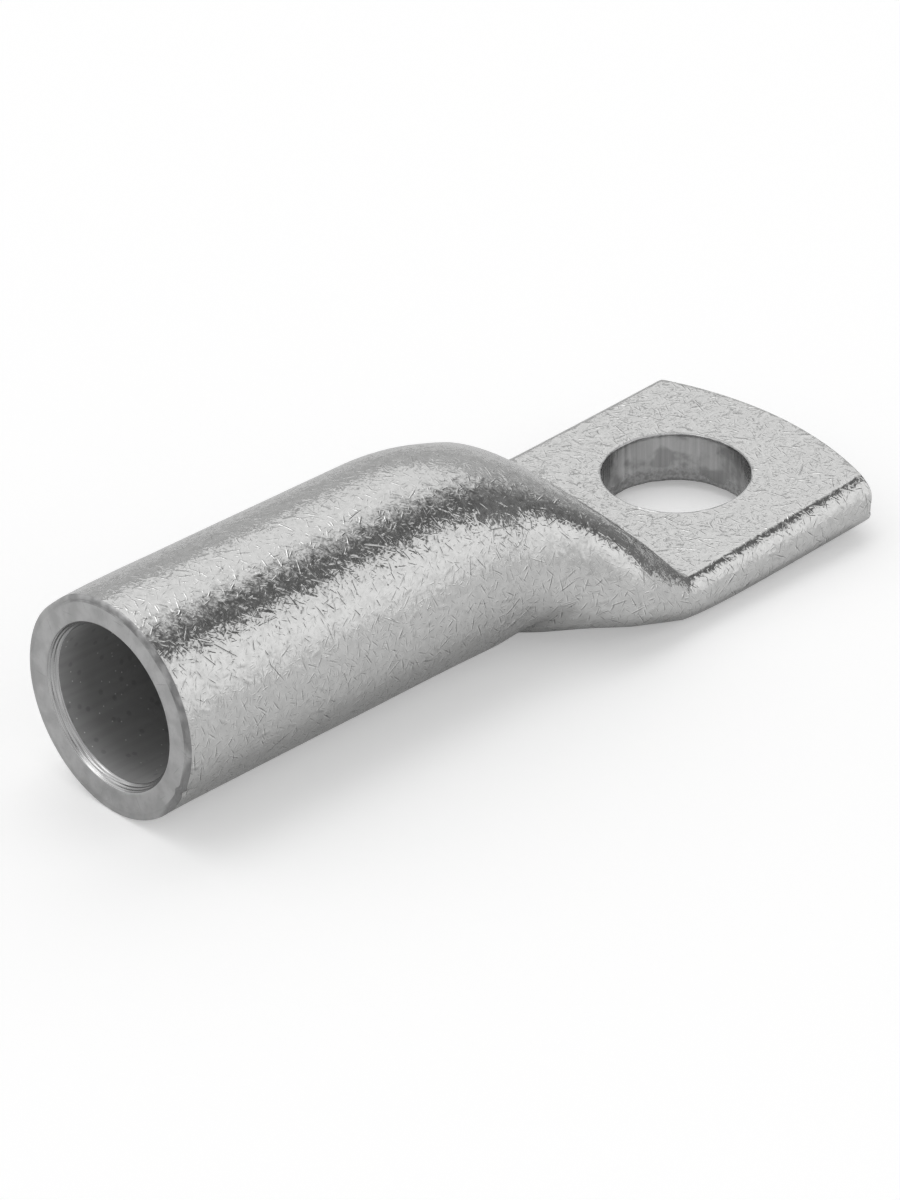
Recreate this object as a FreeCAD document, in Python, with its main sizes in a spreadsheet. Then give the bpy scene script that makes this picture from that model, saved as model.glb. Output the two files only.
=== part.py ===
import FreeCAD, Part

# Ring terminal of the tubular kind: one copper tube, left round at one end for the cable and
# pressed flat at the other to a palm with a punched stud hole.
#
# Frame: millimetres. The origin is the centre of the barrel's mouth, +X runs along the barrel to
# the palm's tip, +Z is up, and the palm's heel is flush with the underside of the barrel.
#
# The hard part is the neck, where the round tube turns into the flat palm. It is lofted through
# cross-sections that are six arcs each: a crown, two upper flanks, two lower flanks and a floor.
# Along the neck the crown comes down over the hump and the ramp, the flanks move out to the palm's
# width, and crown and floor open out to flat faces. The sections stand where one of these starts
# or ends. The tube's bore goes through the same stages one wall further in, until the press has
# closed it.

import math
import os

import Sketcher

SIZES = [
    ("barrel_diameter", 19.0, "outside of the tube"),
    ("bore_diameter", 13.5, "inside of the tube, for the cable's conductor"),
    ("mouth_chamfer", 0.5, "lead-in of the bore"),
    ("rim_bevel", 0.25, "broken outer edge of the mouth"),
    ("mouth_to_hole", 65.6, "barrel's mouth to the stud hole's centre"),
    ("hole_to_foot", 12.0, "stud hole's centre back to the foot of the ramp"),
    ("hole_to_tip", 13.0, "stud hole's centre to the tip"),
    ("stud_hole_diameter", 13.0, "punched hole for the stud"),
    ("palm_width", 26.6, "across the rounded sides"),
    ("palm_thickness", 4.9, "two walls pressed together"),
    ("palm_tilt", 2.86, "degrees that the palm rises to its tip"),
    ("heel_run", 6.8, "foot of the ramp to where the underside starts to rise"),
    ("palm_corner", 41.0, "degrees of the kink between the palm's top and its sides"),
    ("side_height", 0.41, "height of the widest line, as a share of the palm's thickness"),
    ("tip_radius", 31.4, "curve of the sheared tip, seen from above"),
    ("tip_corner_radius", 1.2, "rounded corners of the tip"),
    ("hump_radius", 24.4, "bend of the top into the ramp"),
    ("ramp_angle", 53.0, "degrees of the ramp below the barrel's line"),
    ("foot_rounding", 0.8, "hollow where the ramp runs out into the palm"),
    ("flare_length", 10.7, "stretch in which the tube widens to the palm"),
    ("flare_end_to_foot", 5.0, "end of the widening to the foot of the ramp"),
    ("crown_end_to_foot", 2.6, "start of the flat band at the ramp's end to its foot"),
    ("closed_slit", 0.3, "height at which the pressed bore ends"),
    ("lead_in", 1.0, "round stretch ahead of the hump that the neck starts with"),
]
CAP_ANGLE = 50.0
ORIGIN_ON_PLANE = FreeCAD.Vector(0, 0, 0)
SKETCH_NORMAL = FreeCAD.Vector(0, 0, 1)
H_AXIS_INDEX = -1
V_AXIS_INDEX = -2
TOUCH = 0.01


def fill_sizes(sheet):
    """Write every driving size into its own cell, with its name as the cell's alias."""
    for row, (name, value, note) in enumerate(SIZES, start=1):
        sheet.set(f"A{row}", name)
        sheet.set(f"B{row}", str(value))
        sheet.set(f"C{row}", note)
        sheet.setAlias(f"B{row}", name)


def fill_profile(sheet):
    """Write the sizes that follow from the driving ones, as formulas."""
    sizes = [
        ("radius", "Sizes.barrel_diameter / 2"),
        ("wall", "(Sizes.barrel_diameter - Sizes.bore_diameter) / 2"),
        ("foot", "Sizes.mouth_to_hole - Sizes.hole_to_foot"),
        ("heel", "foot + Sizes.heel_run"),
        ("tip", "Sizes.mouth_to_hole + Sizes.hole_to_tip"),
        ("upright_thickness", "Sizes.palm_thickness / cos(Sizes.palm_tilt)"),
        ("foot_top", "upright_thickness - radius + tan(Sizes.palm_tilt) * (foot - heel)"),
        ("hole_top", "upright_thickness - radius + tan(Sizes.palm_tilt) * (Sizes.mouth_to_hole - heel)"),
        ("hump_end_top", "radius - Sizes.hump_radius * (1 - cos(Sizes.ramp_angle))"),
        ("hump_end", "foot - (hump_end_top - foot_top) / tan(Sizes.ramp_angle)"),
        ("hump_start", "hump_end - Sizes.hump_radius * sin(Sizes.ramp_angle)"),
        ("neck_start", "hump_start - Sizes.lead_in"),
        ("flare_end", "foot - Sizes.flare_end_to_foot"),
        ("flare_start", "flare_end - Sizes.flare_length"),
        ("crown_end", "foot - Sizes.crown_end_to_foot"),
        ("closed_top", "2 * wall + Sizes.closed_slit - radius"),
        ("bore_end", "foot - (closed_top - foot_top) / tan(Sizes.ramp_angle)"),
        ("tube_end", "tip + Sizes.palm_thickness"),
        ("past_tip", "tube_end + Sizes.palm_thickness"),
        ("past_side", "Sizes.palm_width / 2 + Sizes.palm_thickness"),
    ]
    for row, (name, formula) in enumerate(sizes, start=1):
        sheet.set(f"A{row}", name)
        sheet.set(f"B{row}", f"={formula}")
        sheet.setAlias(f"B{row}", name)


def share_of(start, end, here):
    """Formula of how far a place lies between two others, held between 0 and 1."""
    return f"min(1; max(0; ({here} - {start}) / ({end} - {start})))"


def section_formulas(section, along, wall):
    """Formulas of one cross-section of the pressed tube, seen along the barrel.

    along is where it stands and wall how far it lies inside the tube's outer face. The crown and
    the floor are arcs about the middle plane, the flanks are arcs that stand upright at the
    section's widest line, and the arcs of a side meet without a kink, apart from the corner that
    the press leaves along the palm's top.
    """
    def own(name):
        return f"{name}_{section}"

    here = own("along")
    flare = own("flare")
    sink = own("sink")
    edge = own("edge")
    upper_tangent = f"tan((90 - {own('crown')} - {own('corner')}) / 2)"
    lower_tangent = f"tan((90 - {own('floor')}) / 2)"
    drop = f"sqrt(pow(Sizes.hump_radius; 2) - pow({here} - Profile.hump_start; 2))"
    hump = f"Profile.radius - Sizes.hump_radius + {drop}"
    ramp = f"Profile.foot_top + (Profile.foot - {here}) * tan(Sizes.ramp_angle)"
    tube = f"{here} <= Profile.hump_start ? Profile.radius : ({here} < Profile.hump_end ? {hump} : {ramp})"
    outside = wall == "0"
    corner = f"Sizes.palm_corner * {edge}^2 * (3 - 2 * {edge})" if outside else "0"
    floor_end = "Profile.foot" if outside else "Profile.crown_end"
    return [
        ("along", along),
        ("palm_top", f"Profile.foot_top + tan(Sizes.palm_tilt) * ({here} - Profile.foot)"),
        ("top", f"({here} < Profile.foot ? ({tube}) : {own('palm_top')}) - {wall}"),
        ("bottom", f"max(-Profile.radius; {own('palm_top')} - Profile.upright_thickness) + {wall}"),
        ("flare", share_of("Profile.flare_start", "Profile.flare_end", here)),
        ("half_width", f"Profile.radius + (Sizes.palm_width / 2 - Profile.radius)"
                       f" * {flare}^2 * (3 - 2 * {flare}) - {wall}"),
        ("sink", share_of("Profile.hump_start", "Profile.foot", here)),
        ("widest", f"{own('bottom')} + ({own('top')} - {own('bottom')})"
                   f" * (0.5 - (0.5 - Sizes.side_height) * {sink}^2 * (3 - 2 * {sink}))"),
        ("crown", f"{CAP_ANGLE} * (1 - {share_of('Profile.hump_start', 'Profile.crown_end', here)})"),
        ("floor", f"{CAP_ANGLE} * (1 - {share_of('Profile.flare_start', floor_end, here)})"),
        ("edge", share_of("Profile.flare_end", "Profile.foot", here)),
        ("corner", corner),
        ("top_y", f"({own('half_width')} - ({own('top')} - {own('widest')}) * {upper_tangent})"
                  f" / (1 - tan({own('crown')} / 2) * {upper_tangent})"),
        ("top_z", f"{own('top')} - {own('top_y')} * tan({own('crown')} / 2)"),
        ("low_y", f"({own('half_width')} - ({own('widest')} - {own('bottom')}) * {lower_tangent})"
                  f" / (1 - tan({own('floor')} / 2) * {lower_tangent})"),
        ("low_z", f"{own('bottom')} + {own('low_y')} * tan({own('floor')} / 2)"),
        ("upper_radius", f"({own('top_z')} - {own('widest')}) / cos({own('crown')} + {own('corner')})"),
        ("lower_radius", f"({own('widest')} - {own('low_z')}) / cos({own('floor')})"),
        ("crown_radius", f"{own('crown')} > 0 ? {own('top_y')} / sin({own('crown')}) : 0"),
        ("floor_radius", f"{own('floor')} > 0 ? {own('low_y')} / sin({own('floor')}) : 0"),
    ]


def fill_sections(sheet, places):
    """Write the table of cross-sections: one row for each, one column for each of its sizes."""
    for row, (section, along, wall) in enumerate(places, start=1):
        sheet.set(f"A{row}", section)
        for column, (name, formula) in enumerate(section_formulas(section, along, wall)):
            cell = f"{chr(ord('B') + column)}{row}"
            sheet.set(cell, f"={formula}")
            sheet.setAlias(cell, f"{name}_{section}")


def origin_plane(body, role):
    """The body's own origin plane of that role."""
    return next(plane for plane in body.Origin.OriginFeatures if plane.Role == role)


def new_sketch(body, name, role, along=None):
    """A sketch on one of the body's origin planes, moved along the plane's normal by a formula."""
    sketch = body.newObject("Sketcher::SketchObject", name)
    sketch.AttachmentSupport = [(origin_plane(body, role), "")]
    sketch.MapMode = "FlatFace"
    if along:
        sketch.setExpression("AttachmentOffset.Base.z", along)
    return sketch


def bound(sketch, constraint, name, formula):
    """Add a constraint with a name and bind its value to a formula."""
    index = sketch.addConstraint(constraint)
    sketch.renameConstraint(index, name)
    sketch.setExpression(f"Constraints.{name}", formula)


def arc(centre_y, centre_z, radius, start, end):
    """An arc in the sketch's plane, counter-clockwise between two angles in degrees."""
    circle = Part.Circle(FreeCAD.Vector(centre_y, centre_z, 0), SKETCH_NORMAL, radius)
    return Part.ArcOfCircle(circle, math.radians(start), math.radians(end))


def cap(half_width, height, centre_z, radius, middle, half_angle):
    """Crown or floor of a section: an arc about the middle plane, or a line where it is flat."""
    if half_angle > 0:
        return arc(0, centre_z, radius, middle - half_angle, middle + half_angle)
    side = 1 if middle < 180 else -1
    start = FreeCAD.Vector(side * half_width, height, 0)
    end = FreeCAD.Vector(-side * half_width, height, 0)
    return Part.LineSegment(start, end)


def section_sketch(body, table, section):
    """Draw one cross-section from its row of the table, with each size bound to its cell."""
    def size(name):
        value = table.get(f"{name}_{section}")
        return float(getattr(value, "Value", value))

    def cell(name):
        return f"Sections.{name}_{section}"

    sketch = new_sketch(body, f"section_{section}", "YZ_Plane", cell("along"))
    crown, floor = size("crown"), size("floor")
    upper_sweep = 90 - crown - size("corner")
    lower_sweep = 90 - floor
    upper_centre = size("half_width") - size("upper_radius")
    lower_centre = size("half_width") - size("lower_radius")
    widest = size("widest")
    crown_centre = size("top") - size("crown_radius")
    floor_centre = size("bottom") + size("floor_radius")
    shapes = [
        cap(size("top_y"), size("top_z"), crown_centre, size("crown_radius"), 90, crown),
        arc(-upper_centre, widest, size("upper_radius"), 180 - upper_sweep, 180),
        arc(-lower_centre, widest, size("lower_radius"), 180, 180 + lower_sweep),
        cap(size("low_y"), size("low_z"), floor_centre, size("floor_radius"), 270, floor),
        arc(lower_centre, widest, size("lower_radius"), -lower_sweep, 0),
        arc(upper_centre, widest, size("upper_radius"), 0, upper_sweep),
    ]
    top_cap, left_upper, left_lower, floor_cap, right_lower, right_upper = sketch.addGeometry(shapes, False)
    ring = [top_cap, left_upper, left_lower, floor_cap, right_lower, right_upper]
    start, end, middle = 1, 2, 3
    for here, after in zip(ring, ring[1:] + ring[:1]):
        sketch.addConstraint(Sketcher.Constraint("Coincident", here, end, after, start))
    for edge, point, across, up in ((top_cap, start, "top_y", "top_z"),
                                    (right_upper, start, "half_width", "widest"),
                                    (floor_cap, end, "low_y", "low_z")):
        bound(sketch, Sketcher.Constraint("DistanceX", edge, point, size(across)), across, cell(across))
        bound(sketch, Sketcher.Constraint("DistanceY", edge, point, size(up)), up, cell(up))
    for edge, name in ((right_upper, "upper_radius"), (right_lower, "lower_radius")):
        bound(sketch, Sketcher.Constraint("Radius", edge, size(name)), name, cell(name))
    sketch.addConstraint(Sketcher.Constraint("Equal", right_upper, left_upper))
    sketch.addConstraint(Sketcher.Constraint("Equal", right_lower, left_lower))
    sketch.addConstraint(
        Sketcher.Constraint("Symmetric", left_upper, end, right_upper, start, V_AXIS_INDEX))
    for edge, angle, name in ((top_cap, crown, "crown_radius"), (floor_cap, floor, "floor_radius")):
        if angle > 0:
            sketch.addConstraint(Sketcher.Constraint("Horizontal", edge, start, edge, end))
            sketch.addConstraint(Sketcher.Constraint("PointOnObject", edge, middle, V_AXIS_INDEX))
            bound(sketch, Sketcher.Constraint("Radius", edge, size(name)), name, cell(name))
        else:
            sketch.addConstraint(Sketcher.Constraint("Symmetric", edge, start, edge, end, V_AXIS_INDEX))
    return sketch


def circle_sketch(body, name, role, diameter, value, along=None):
    """A sketch of one circle about the origin, with its diameter bound to a formula."""
    sketch = new_sketch(body, name, role, along)
    ring = sketch.addGeometry(Part.Circle(ORIGIN_ON_PLANE, SKETCH_NORMAL, value / 2), False)
    sketch.addConstraint(Sketcher.Constraint("Coincident", ring, 3, -1, 1))
    bound(sketch, Sketcher.Constraint("Diameter", ring, value), "diameter", diameter)
    return sketch


def loft(body, kind, name, sketches, ruled):
    """A loft through sketches in their order along the tube."""
    feature = body.newObject(kind, name)
    feature.Profile = sketches[0]
    feature.Sections = [(sketch, [""]) for sketch in sketches[1:]]
    feature.Ruled = ruled
    return feature


def tip_sketch(body):
    """Outline of what the shear takes off the pressed tube's end, seen from above."""
    half = float(sizes.palm_width) / 2
    radius = float(sizes.tip_radius)
    corner = float(sizes.tip_corner_radius)
    tip = float(profile.tip)
    past_tip = float(profile.past_tip)
    past_side = float(profile.past_side)
    centre = tip - radius
    corner_along = centre + math.sqrt((radius - corner) ** 2 - (half - corner) ** 2)
    turn = math.degrees(math.atan2(half - corner, corner_along - centre))

    sketch = new_sketch(body, "tip_outline", "XY_Plane")
    corners = [(corner_along, half), (corner_along, past_side), (past_tip, past_side),
               (past_tip, -past_side), (corner_along, -past_side), (corner_along, -half)]
    points = [FreeCAD.Vector(along, across, 0) for along, across in corners]
    shapes = [Part.LineSegment(here, after) for here, after in zip(points, points[1:])]
    shapes += [arc(corner_along, corner - half, corner, -90, -turn),
               arc(centre, 0, radius, -turn, turn),
               arc(corner_along, half - corner, corner, turn, 90)]
    ring = list(sketch.addGeometry(shapes, False))
    left_end, left_side, _, right_side, right_end, right_corner, tip_arc, left_corner = ring
    start, end, middle = 1, 2, 3
    origin = (-1, 1)
    for here, after in zip(ring, ring[1:] + ring[:1]):
        if tip_arc in (here, after):
            sketch.addConstraint(Sketcher.Constraint("Tangent", here, end, after, start))
        else:
            sketch.addConstraint(Sketcher.Constraint("Coincident", here, end, after, start))
    for edge in (left_end, right_end):
        sketch.addConstraint(Sketcher.Constraint("Vertical", edge))
    for edge in (left_side, right_side):
        sketch.addConstraint(Sketcher.Constraint("Horizontal", edge))
    sketch.addConstraint(Sketcher.Constraint("Vertical", right_corner, start, right_corner, middle))
    sketch.addConstraint(Sketcher.Constraint("Vertical", left_corner, end, left_corner, middle))
    sketch.addConstraint(Sketcher.Constraint("Equal", left_corner, right_corner))
    sketch.addConstraint(
        Sketcher.Constraint("Symmetric", left_corner, end, right_corner, start, H_AXIS_INDEX))
    sketch.addConstraint(
        Sketcher.Constraint("Symmetric", left_side, end, right_side, start, H_AXIS_INDEX))
    for kind, first, second, value, name, formula in (
            ("Radius", (tip_arc,), (), radius, "tip_radius", "Sizes.tip_radius"),
            ("Radius", (right_corner,), (), corner, "corner_radius", "Sizes.tip_corner_radius"),
            ("DistanceX", origin, (tip_arc, middle), centre, "centre", "Profile.tip - Sizes.tip_radius"),
            ("DistanceY", origin, (left_corner, end), half, "half_width", "Sizes.palm_width / 2"),
            ("DistanceX", origin, (left_side, end), past_tip, "past_tip", "Profile.past_tip"),
            ("DistanceY", origin, (left_side, end), past_side, "past_side", "Profile.past_side")):
        bound(sketch, Sketcher.Constraint(kind, *first, *second, value), name, formula)
    return sketch


def hole_sketch(body, diameter):
    """Circle of the stud hole on a plane that lies in the palm's top."""
    sketch = circle_sketch(body, "stud_hole_outline", "XY_Plane", "Sizes.stud_hole_diameter", diameter)
    rise = FreeCAD.Rotation(FreeCAD.Vector(0, -1, 0), float(sizes.palm_tilt))
    sketch.AttachmentOffset = FreeCAD.Placement(ORIGIN_ON_PLANE, rise)
    sketch.setExpression("AttachmentOffset.Base.x", "Sizes.mouth_to_hole")
    sketch.setExpression("AttachmentOffset.Base.z", "Profile.hole_top")
    sketch.setExpression("AttachmentOffset.Rotation.Angle", "Sizes.palm_tilt")
    return sketch


def mouth_edge(shape, radius):
    """Name of the round edge of that radius in the plane of the mouth."""
    for number, edge in enumerate(shape.Edges, start=1):
        curve = edge.Curve
        if not isinstance(curve, Part.Circle):
            continue
        if abs(curve.Radius - radius) < TOUCH and abs(curve.Center.x) < TOUCH:
            return f"Edge{number}"
    raise RuntimeError("the mouth has no such edge")


def foot_edge(shape, along, height):
    """Name of the edge across the palm where the ramp comes down to it."""
    for number, edge in enumerate(shape.Edges, start=1):
        points = [vertex.Point for vertex in edge.Vertexes]
        level = all(abs(point.x - along) < TOUCH and abs(point.z - height) < TOUCH for point in points)
        if level and len(points) == 2 and points[0].y * points[1].y < 0:
            return f"Edge{number}"
    raise RuntimeError("the ramp has no foot")


document = FreeCAD.newDocument("ring_terminal")
sizes = document.addObject("Spreadsheet::Sheet", "Sizes")
fill_sizes(sizes)
profile = document.addObject("Spreadsheet::Sheet", "Profile")
fill_profile(profile)

outer_stations = [
    "Profile.neck_start",
    "Profile.hump_start",
    "(Profile.hump_start + Profile.flare_start) / 2",
    "Profile.flare_start",
    "Profile.flare_start + Sizes.flare_length / 3",
    "Profile.flare_end - Sizes.flare_length / 3",
    "Profile.flare_end",
    "Profile.crown_end",
    "Profile.foot",
]
inner_stations = outer_stations[:-2] + ["Profile.bore_end"]
places = [(f"neck_{number}", along, "0") for number, along in enumerate(outer_stations)]
places += [(f"bore_{number}", along, "Profile.wall") for number, along in enumerate(inner_stations)]
places.append(("palm_heel", "Profile.heel", "0"))
table = document.addObject("Spreadsheet::Sheet", "Sections")
fill_sections(table, places)
document.recompute()

body = document.addObject("PartDesign::Body", "terminal_body")
body.Label = "terminal_body"

# The barrel, as long as the neck leaves it round.
barrel = body.newObject("PartDesign::Pad", "barrel")
barrel.Profile = circle_sketch(body, "barrel_outline", "YZ_Plane",
                               "Sizes.barrel_diameter", sizes.barrel_diameter)
barrel.setExpression("Length", "Profile.neck_start")
document.recompute()

# The neck: hump, ramp and flared sides.
neck_sketches = [section_sketch(body, table, f"neck_{number}") for number in range(len(outer_stations))]
neck = loft(body, "PartDesign::AdditiveLoft", "neck", neck_sketches, ruled=False)
document.recompute()

# The palm, level on its underside from the foot of the ramp to the heel.
heel_sketch = section_sketch(body, table, "palm_heel")
heel = loft(body, "PartDesign::AdditiveLoft", "heel", [neck_sketches[-1], heel_sketch], ruled=True)
document.recompute()

# The rest of the palm: the heel's section drawn on past the tip, rising.
palm = body.newObject("PartDesign::Pad", "palm")
palm.Profile = heel_sketch
palm.UseCustomVector = True
palm.AlongSketchNormal = True
palm.setExpression("Direction.x", "cos(Sizes.palm_tilt)")
palm.setExpression("Direction.y", "0")
palm.setExpression("Direction.z", "sin(Sizes.palm_tilt)")
palm.setExpression("Length", "Profile.tube_end - Profile.heel")
document.recompute()

# The tip, sheared along an arc with rounded corners: everything outside that outline goes.
trim = body.newObject("PartDesign::Pocket", "tip_shear")
trim.Profile = tip_sketch(body)
trim.Type = "ThroughAll"
trim.Midplane = True
document.recompute()

# The bore: round as far as the barrel is, then closing with the neck.
bore = body.newObject("PartDesign::Pocket", "bore")
bore.Profile = circle_sketch(body, "bore_outline", "YZ_Plane",
                             "Sizes.bore_diameter", sizes.bore_diameter)
bore.setExpression("Length", "Profile.neck_start")
bore.Reversed = True
document.recompute()
closing_sketches = [section_sketch(body, table, f"bore_{number}") for number in range(len(inner_stations))]
loft(body, "PartDesign::SubtractiveLoft", "closing_bore", closing_sketches, ruled=True)
document.recompute()

# The stud hole, punched square to the palm's top.
stud_hole = body.newObject("PartDesign::Pocket", "stud_hole")
stud_hole.Profile = hole_sketch(body, sizes.stud_hole_diameter)
stud_hole.Type = "ThroughAll"
stud_hole.Midplane = True
document.recompute()

# The foot of the ramp, which the press leaves slightly hollow.
foot = body.newObject("PartDesign::Fillet", "foot")
foot.Base = (stud_hole, [foot_edge(stud_hole.Shape, float(profile.foot), float(profile.foot_top))])
foot.setExpression("Radius", "Sizes.foot_rounding")
document.recompute()

# The mouth: a lead-in for the strands and a broken outer edge.
chamfer = body.newObject("PartDesign::Chamfer", "mouth_chamfer")
chamfer.Base = (foot, [mouth_edge(foot.Shape, profile.radius - profile.wall)])
chamfer.setExpression("Size", "Sizes.mouth_chamfer")
document.recompute()
rim = body.newObject("PartDesign::Chamfer", "rim")
rim.Base = (chamfer, [mouth_edge(chamfer.Shape, profile.radius)])
rim.setExpression("Size", "Sizes.rim_bevel")
document.recompute()

for thing in document.Objects:
    if "Invalid" in thing.State or "Error" in thing.State:
        raise RuntimeError(f"{thing.Label} failed to build")
shape = body.Shape
if shape.isNull() or not shape.isValid() or len(shape.Solids) != 1:
    raise RuntimeError(f"{body.Label} is not one valid solid")

os.makedirs("parts", exist_ok=True)
shape.exportStep(f"parts/{body.Label}.step")
print(body.Label, "volume", round(shape.Volume, 1), "mm3", len(shape.Faces), "faces")
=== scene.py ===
import logging
import math
from dataclasses import dataclass, field
from enum import Enum
from itertools import product

import bpy
import numpy as np
from mathutils import Matrix


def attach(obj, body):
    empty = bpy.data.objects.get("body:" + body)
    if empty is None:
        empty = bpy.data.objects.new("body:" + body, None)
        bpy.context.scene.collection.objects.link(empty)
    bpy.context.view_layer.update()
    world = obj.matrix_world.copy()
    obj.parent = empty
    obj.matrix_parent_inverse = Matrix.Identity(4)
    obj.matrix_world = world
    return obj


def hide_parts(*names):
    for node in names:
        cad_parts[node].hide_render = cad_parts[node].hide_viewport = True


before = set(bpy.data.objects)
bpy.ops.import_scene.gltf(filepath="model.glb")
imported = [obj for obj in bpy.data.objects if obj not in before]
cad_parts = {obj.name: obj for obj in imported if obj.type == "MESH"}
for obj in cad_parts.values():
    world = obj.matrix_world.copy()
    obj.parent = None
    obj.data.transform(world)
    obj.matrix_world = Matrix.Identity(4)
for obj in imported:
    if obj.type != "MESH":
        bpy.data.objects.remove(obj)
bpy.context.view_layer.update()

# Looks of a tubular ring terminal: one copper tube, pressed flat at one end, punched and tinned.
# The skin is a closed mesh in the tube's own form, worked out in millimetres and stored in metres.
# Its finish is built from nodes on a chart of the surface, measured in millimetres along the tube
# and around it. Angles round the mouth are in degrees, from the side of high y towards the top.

LOG = logging.getLogger("ring_terminal")
MM = 0.001
# Side of the mouth, in degrees, where the rim's shade is painted and the lip's groove is deepest.
PAINTED_RIM_SHADE_SIDE = 125.0
NICK_AT = -154.0
Array = np.ndarray
Floats = tuple[float, ...]
Socket = bpy.types.NodeSocket
Look = tuple[Socket, Socket, object]


def eased(share: Array) -> Array:
    """Smooth step: 3 s squared minus 2 s cubed, with s held between 0 and 1.

    Args:
        share: values to ease.

    Returns:
        Array of the same shape, from 0 to 1.
    """
    held = np.clip(share, 0.0, 1.0)
    return held * held * (3.0 - 2.0 * held)


def passed(value: Array, start: float, end: float) -> Array:
    """How far values have come from start to end, eased: 0 before the start, 1 past the end."""
    return eased((value - start) / (end - start))


def hill(value: Array, run: Floats) -> Array:
    """Eased rise from 0 to 1 between the run's first two places, and fall between its last two."""
    return passed(value, run[0], run[1]) * (1.0 - passed(value, run[2], run[3]))


def soft_max(first: Array, second: Array, softness: float) -> Array:
    """The greater of two, rounded where they meet: half their sum plus half a hyperbola."""
    return 0.5 * (first + second + np.hypot(first - second, softness))


def stations(stops: Floats, steps: tuple[int, ...]) -> Array:
    """Places along the tube: each stretch between two stops in its own number of even steps."""
    parts = [np.linspace(a, b, n + 1)[:-1] for a, b, n in zip(stops, stops[1:], steps)]
    return np.concatenate(parts + [[stops[-1]]])


class Zone(Enum):
    """Which finish a patch of the skin wears; the value is the material's place on the mesh."""

    TIN = 0
    CUT = 1
    LEAD = 2
    BORE = 3
    PUNCHED = 4
    RIM = 5


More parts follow.
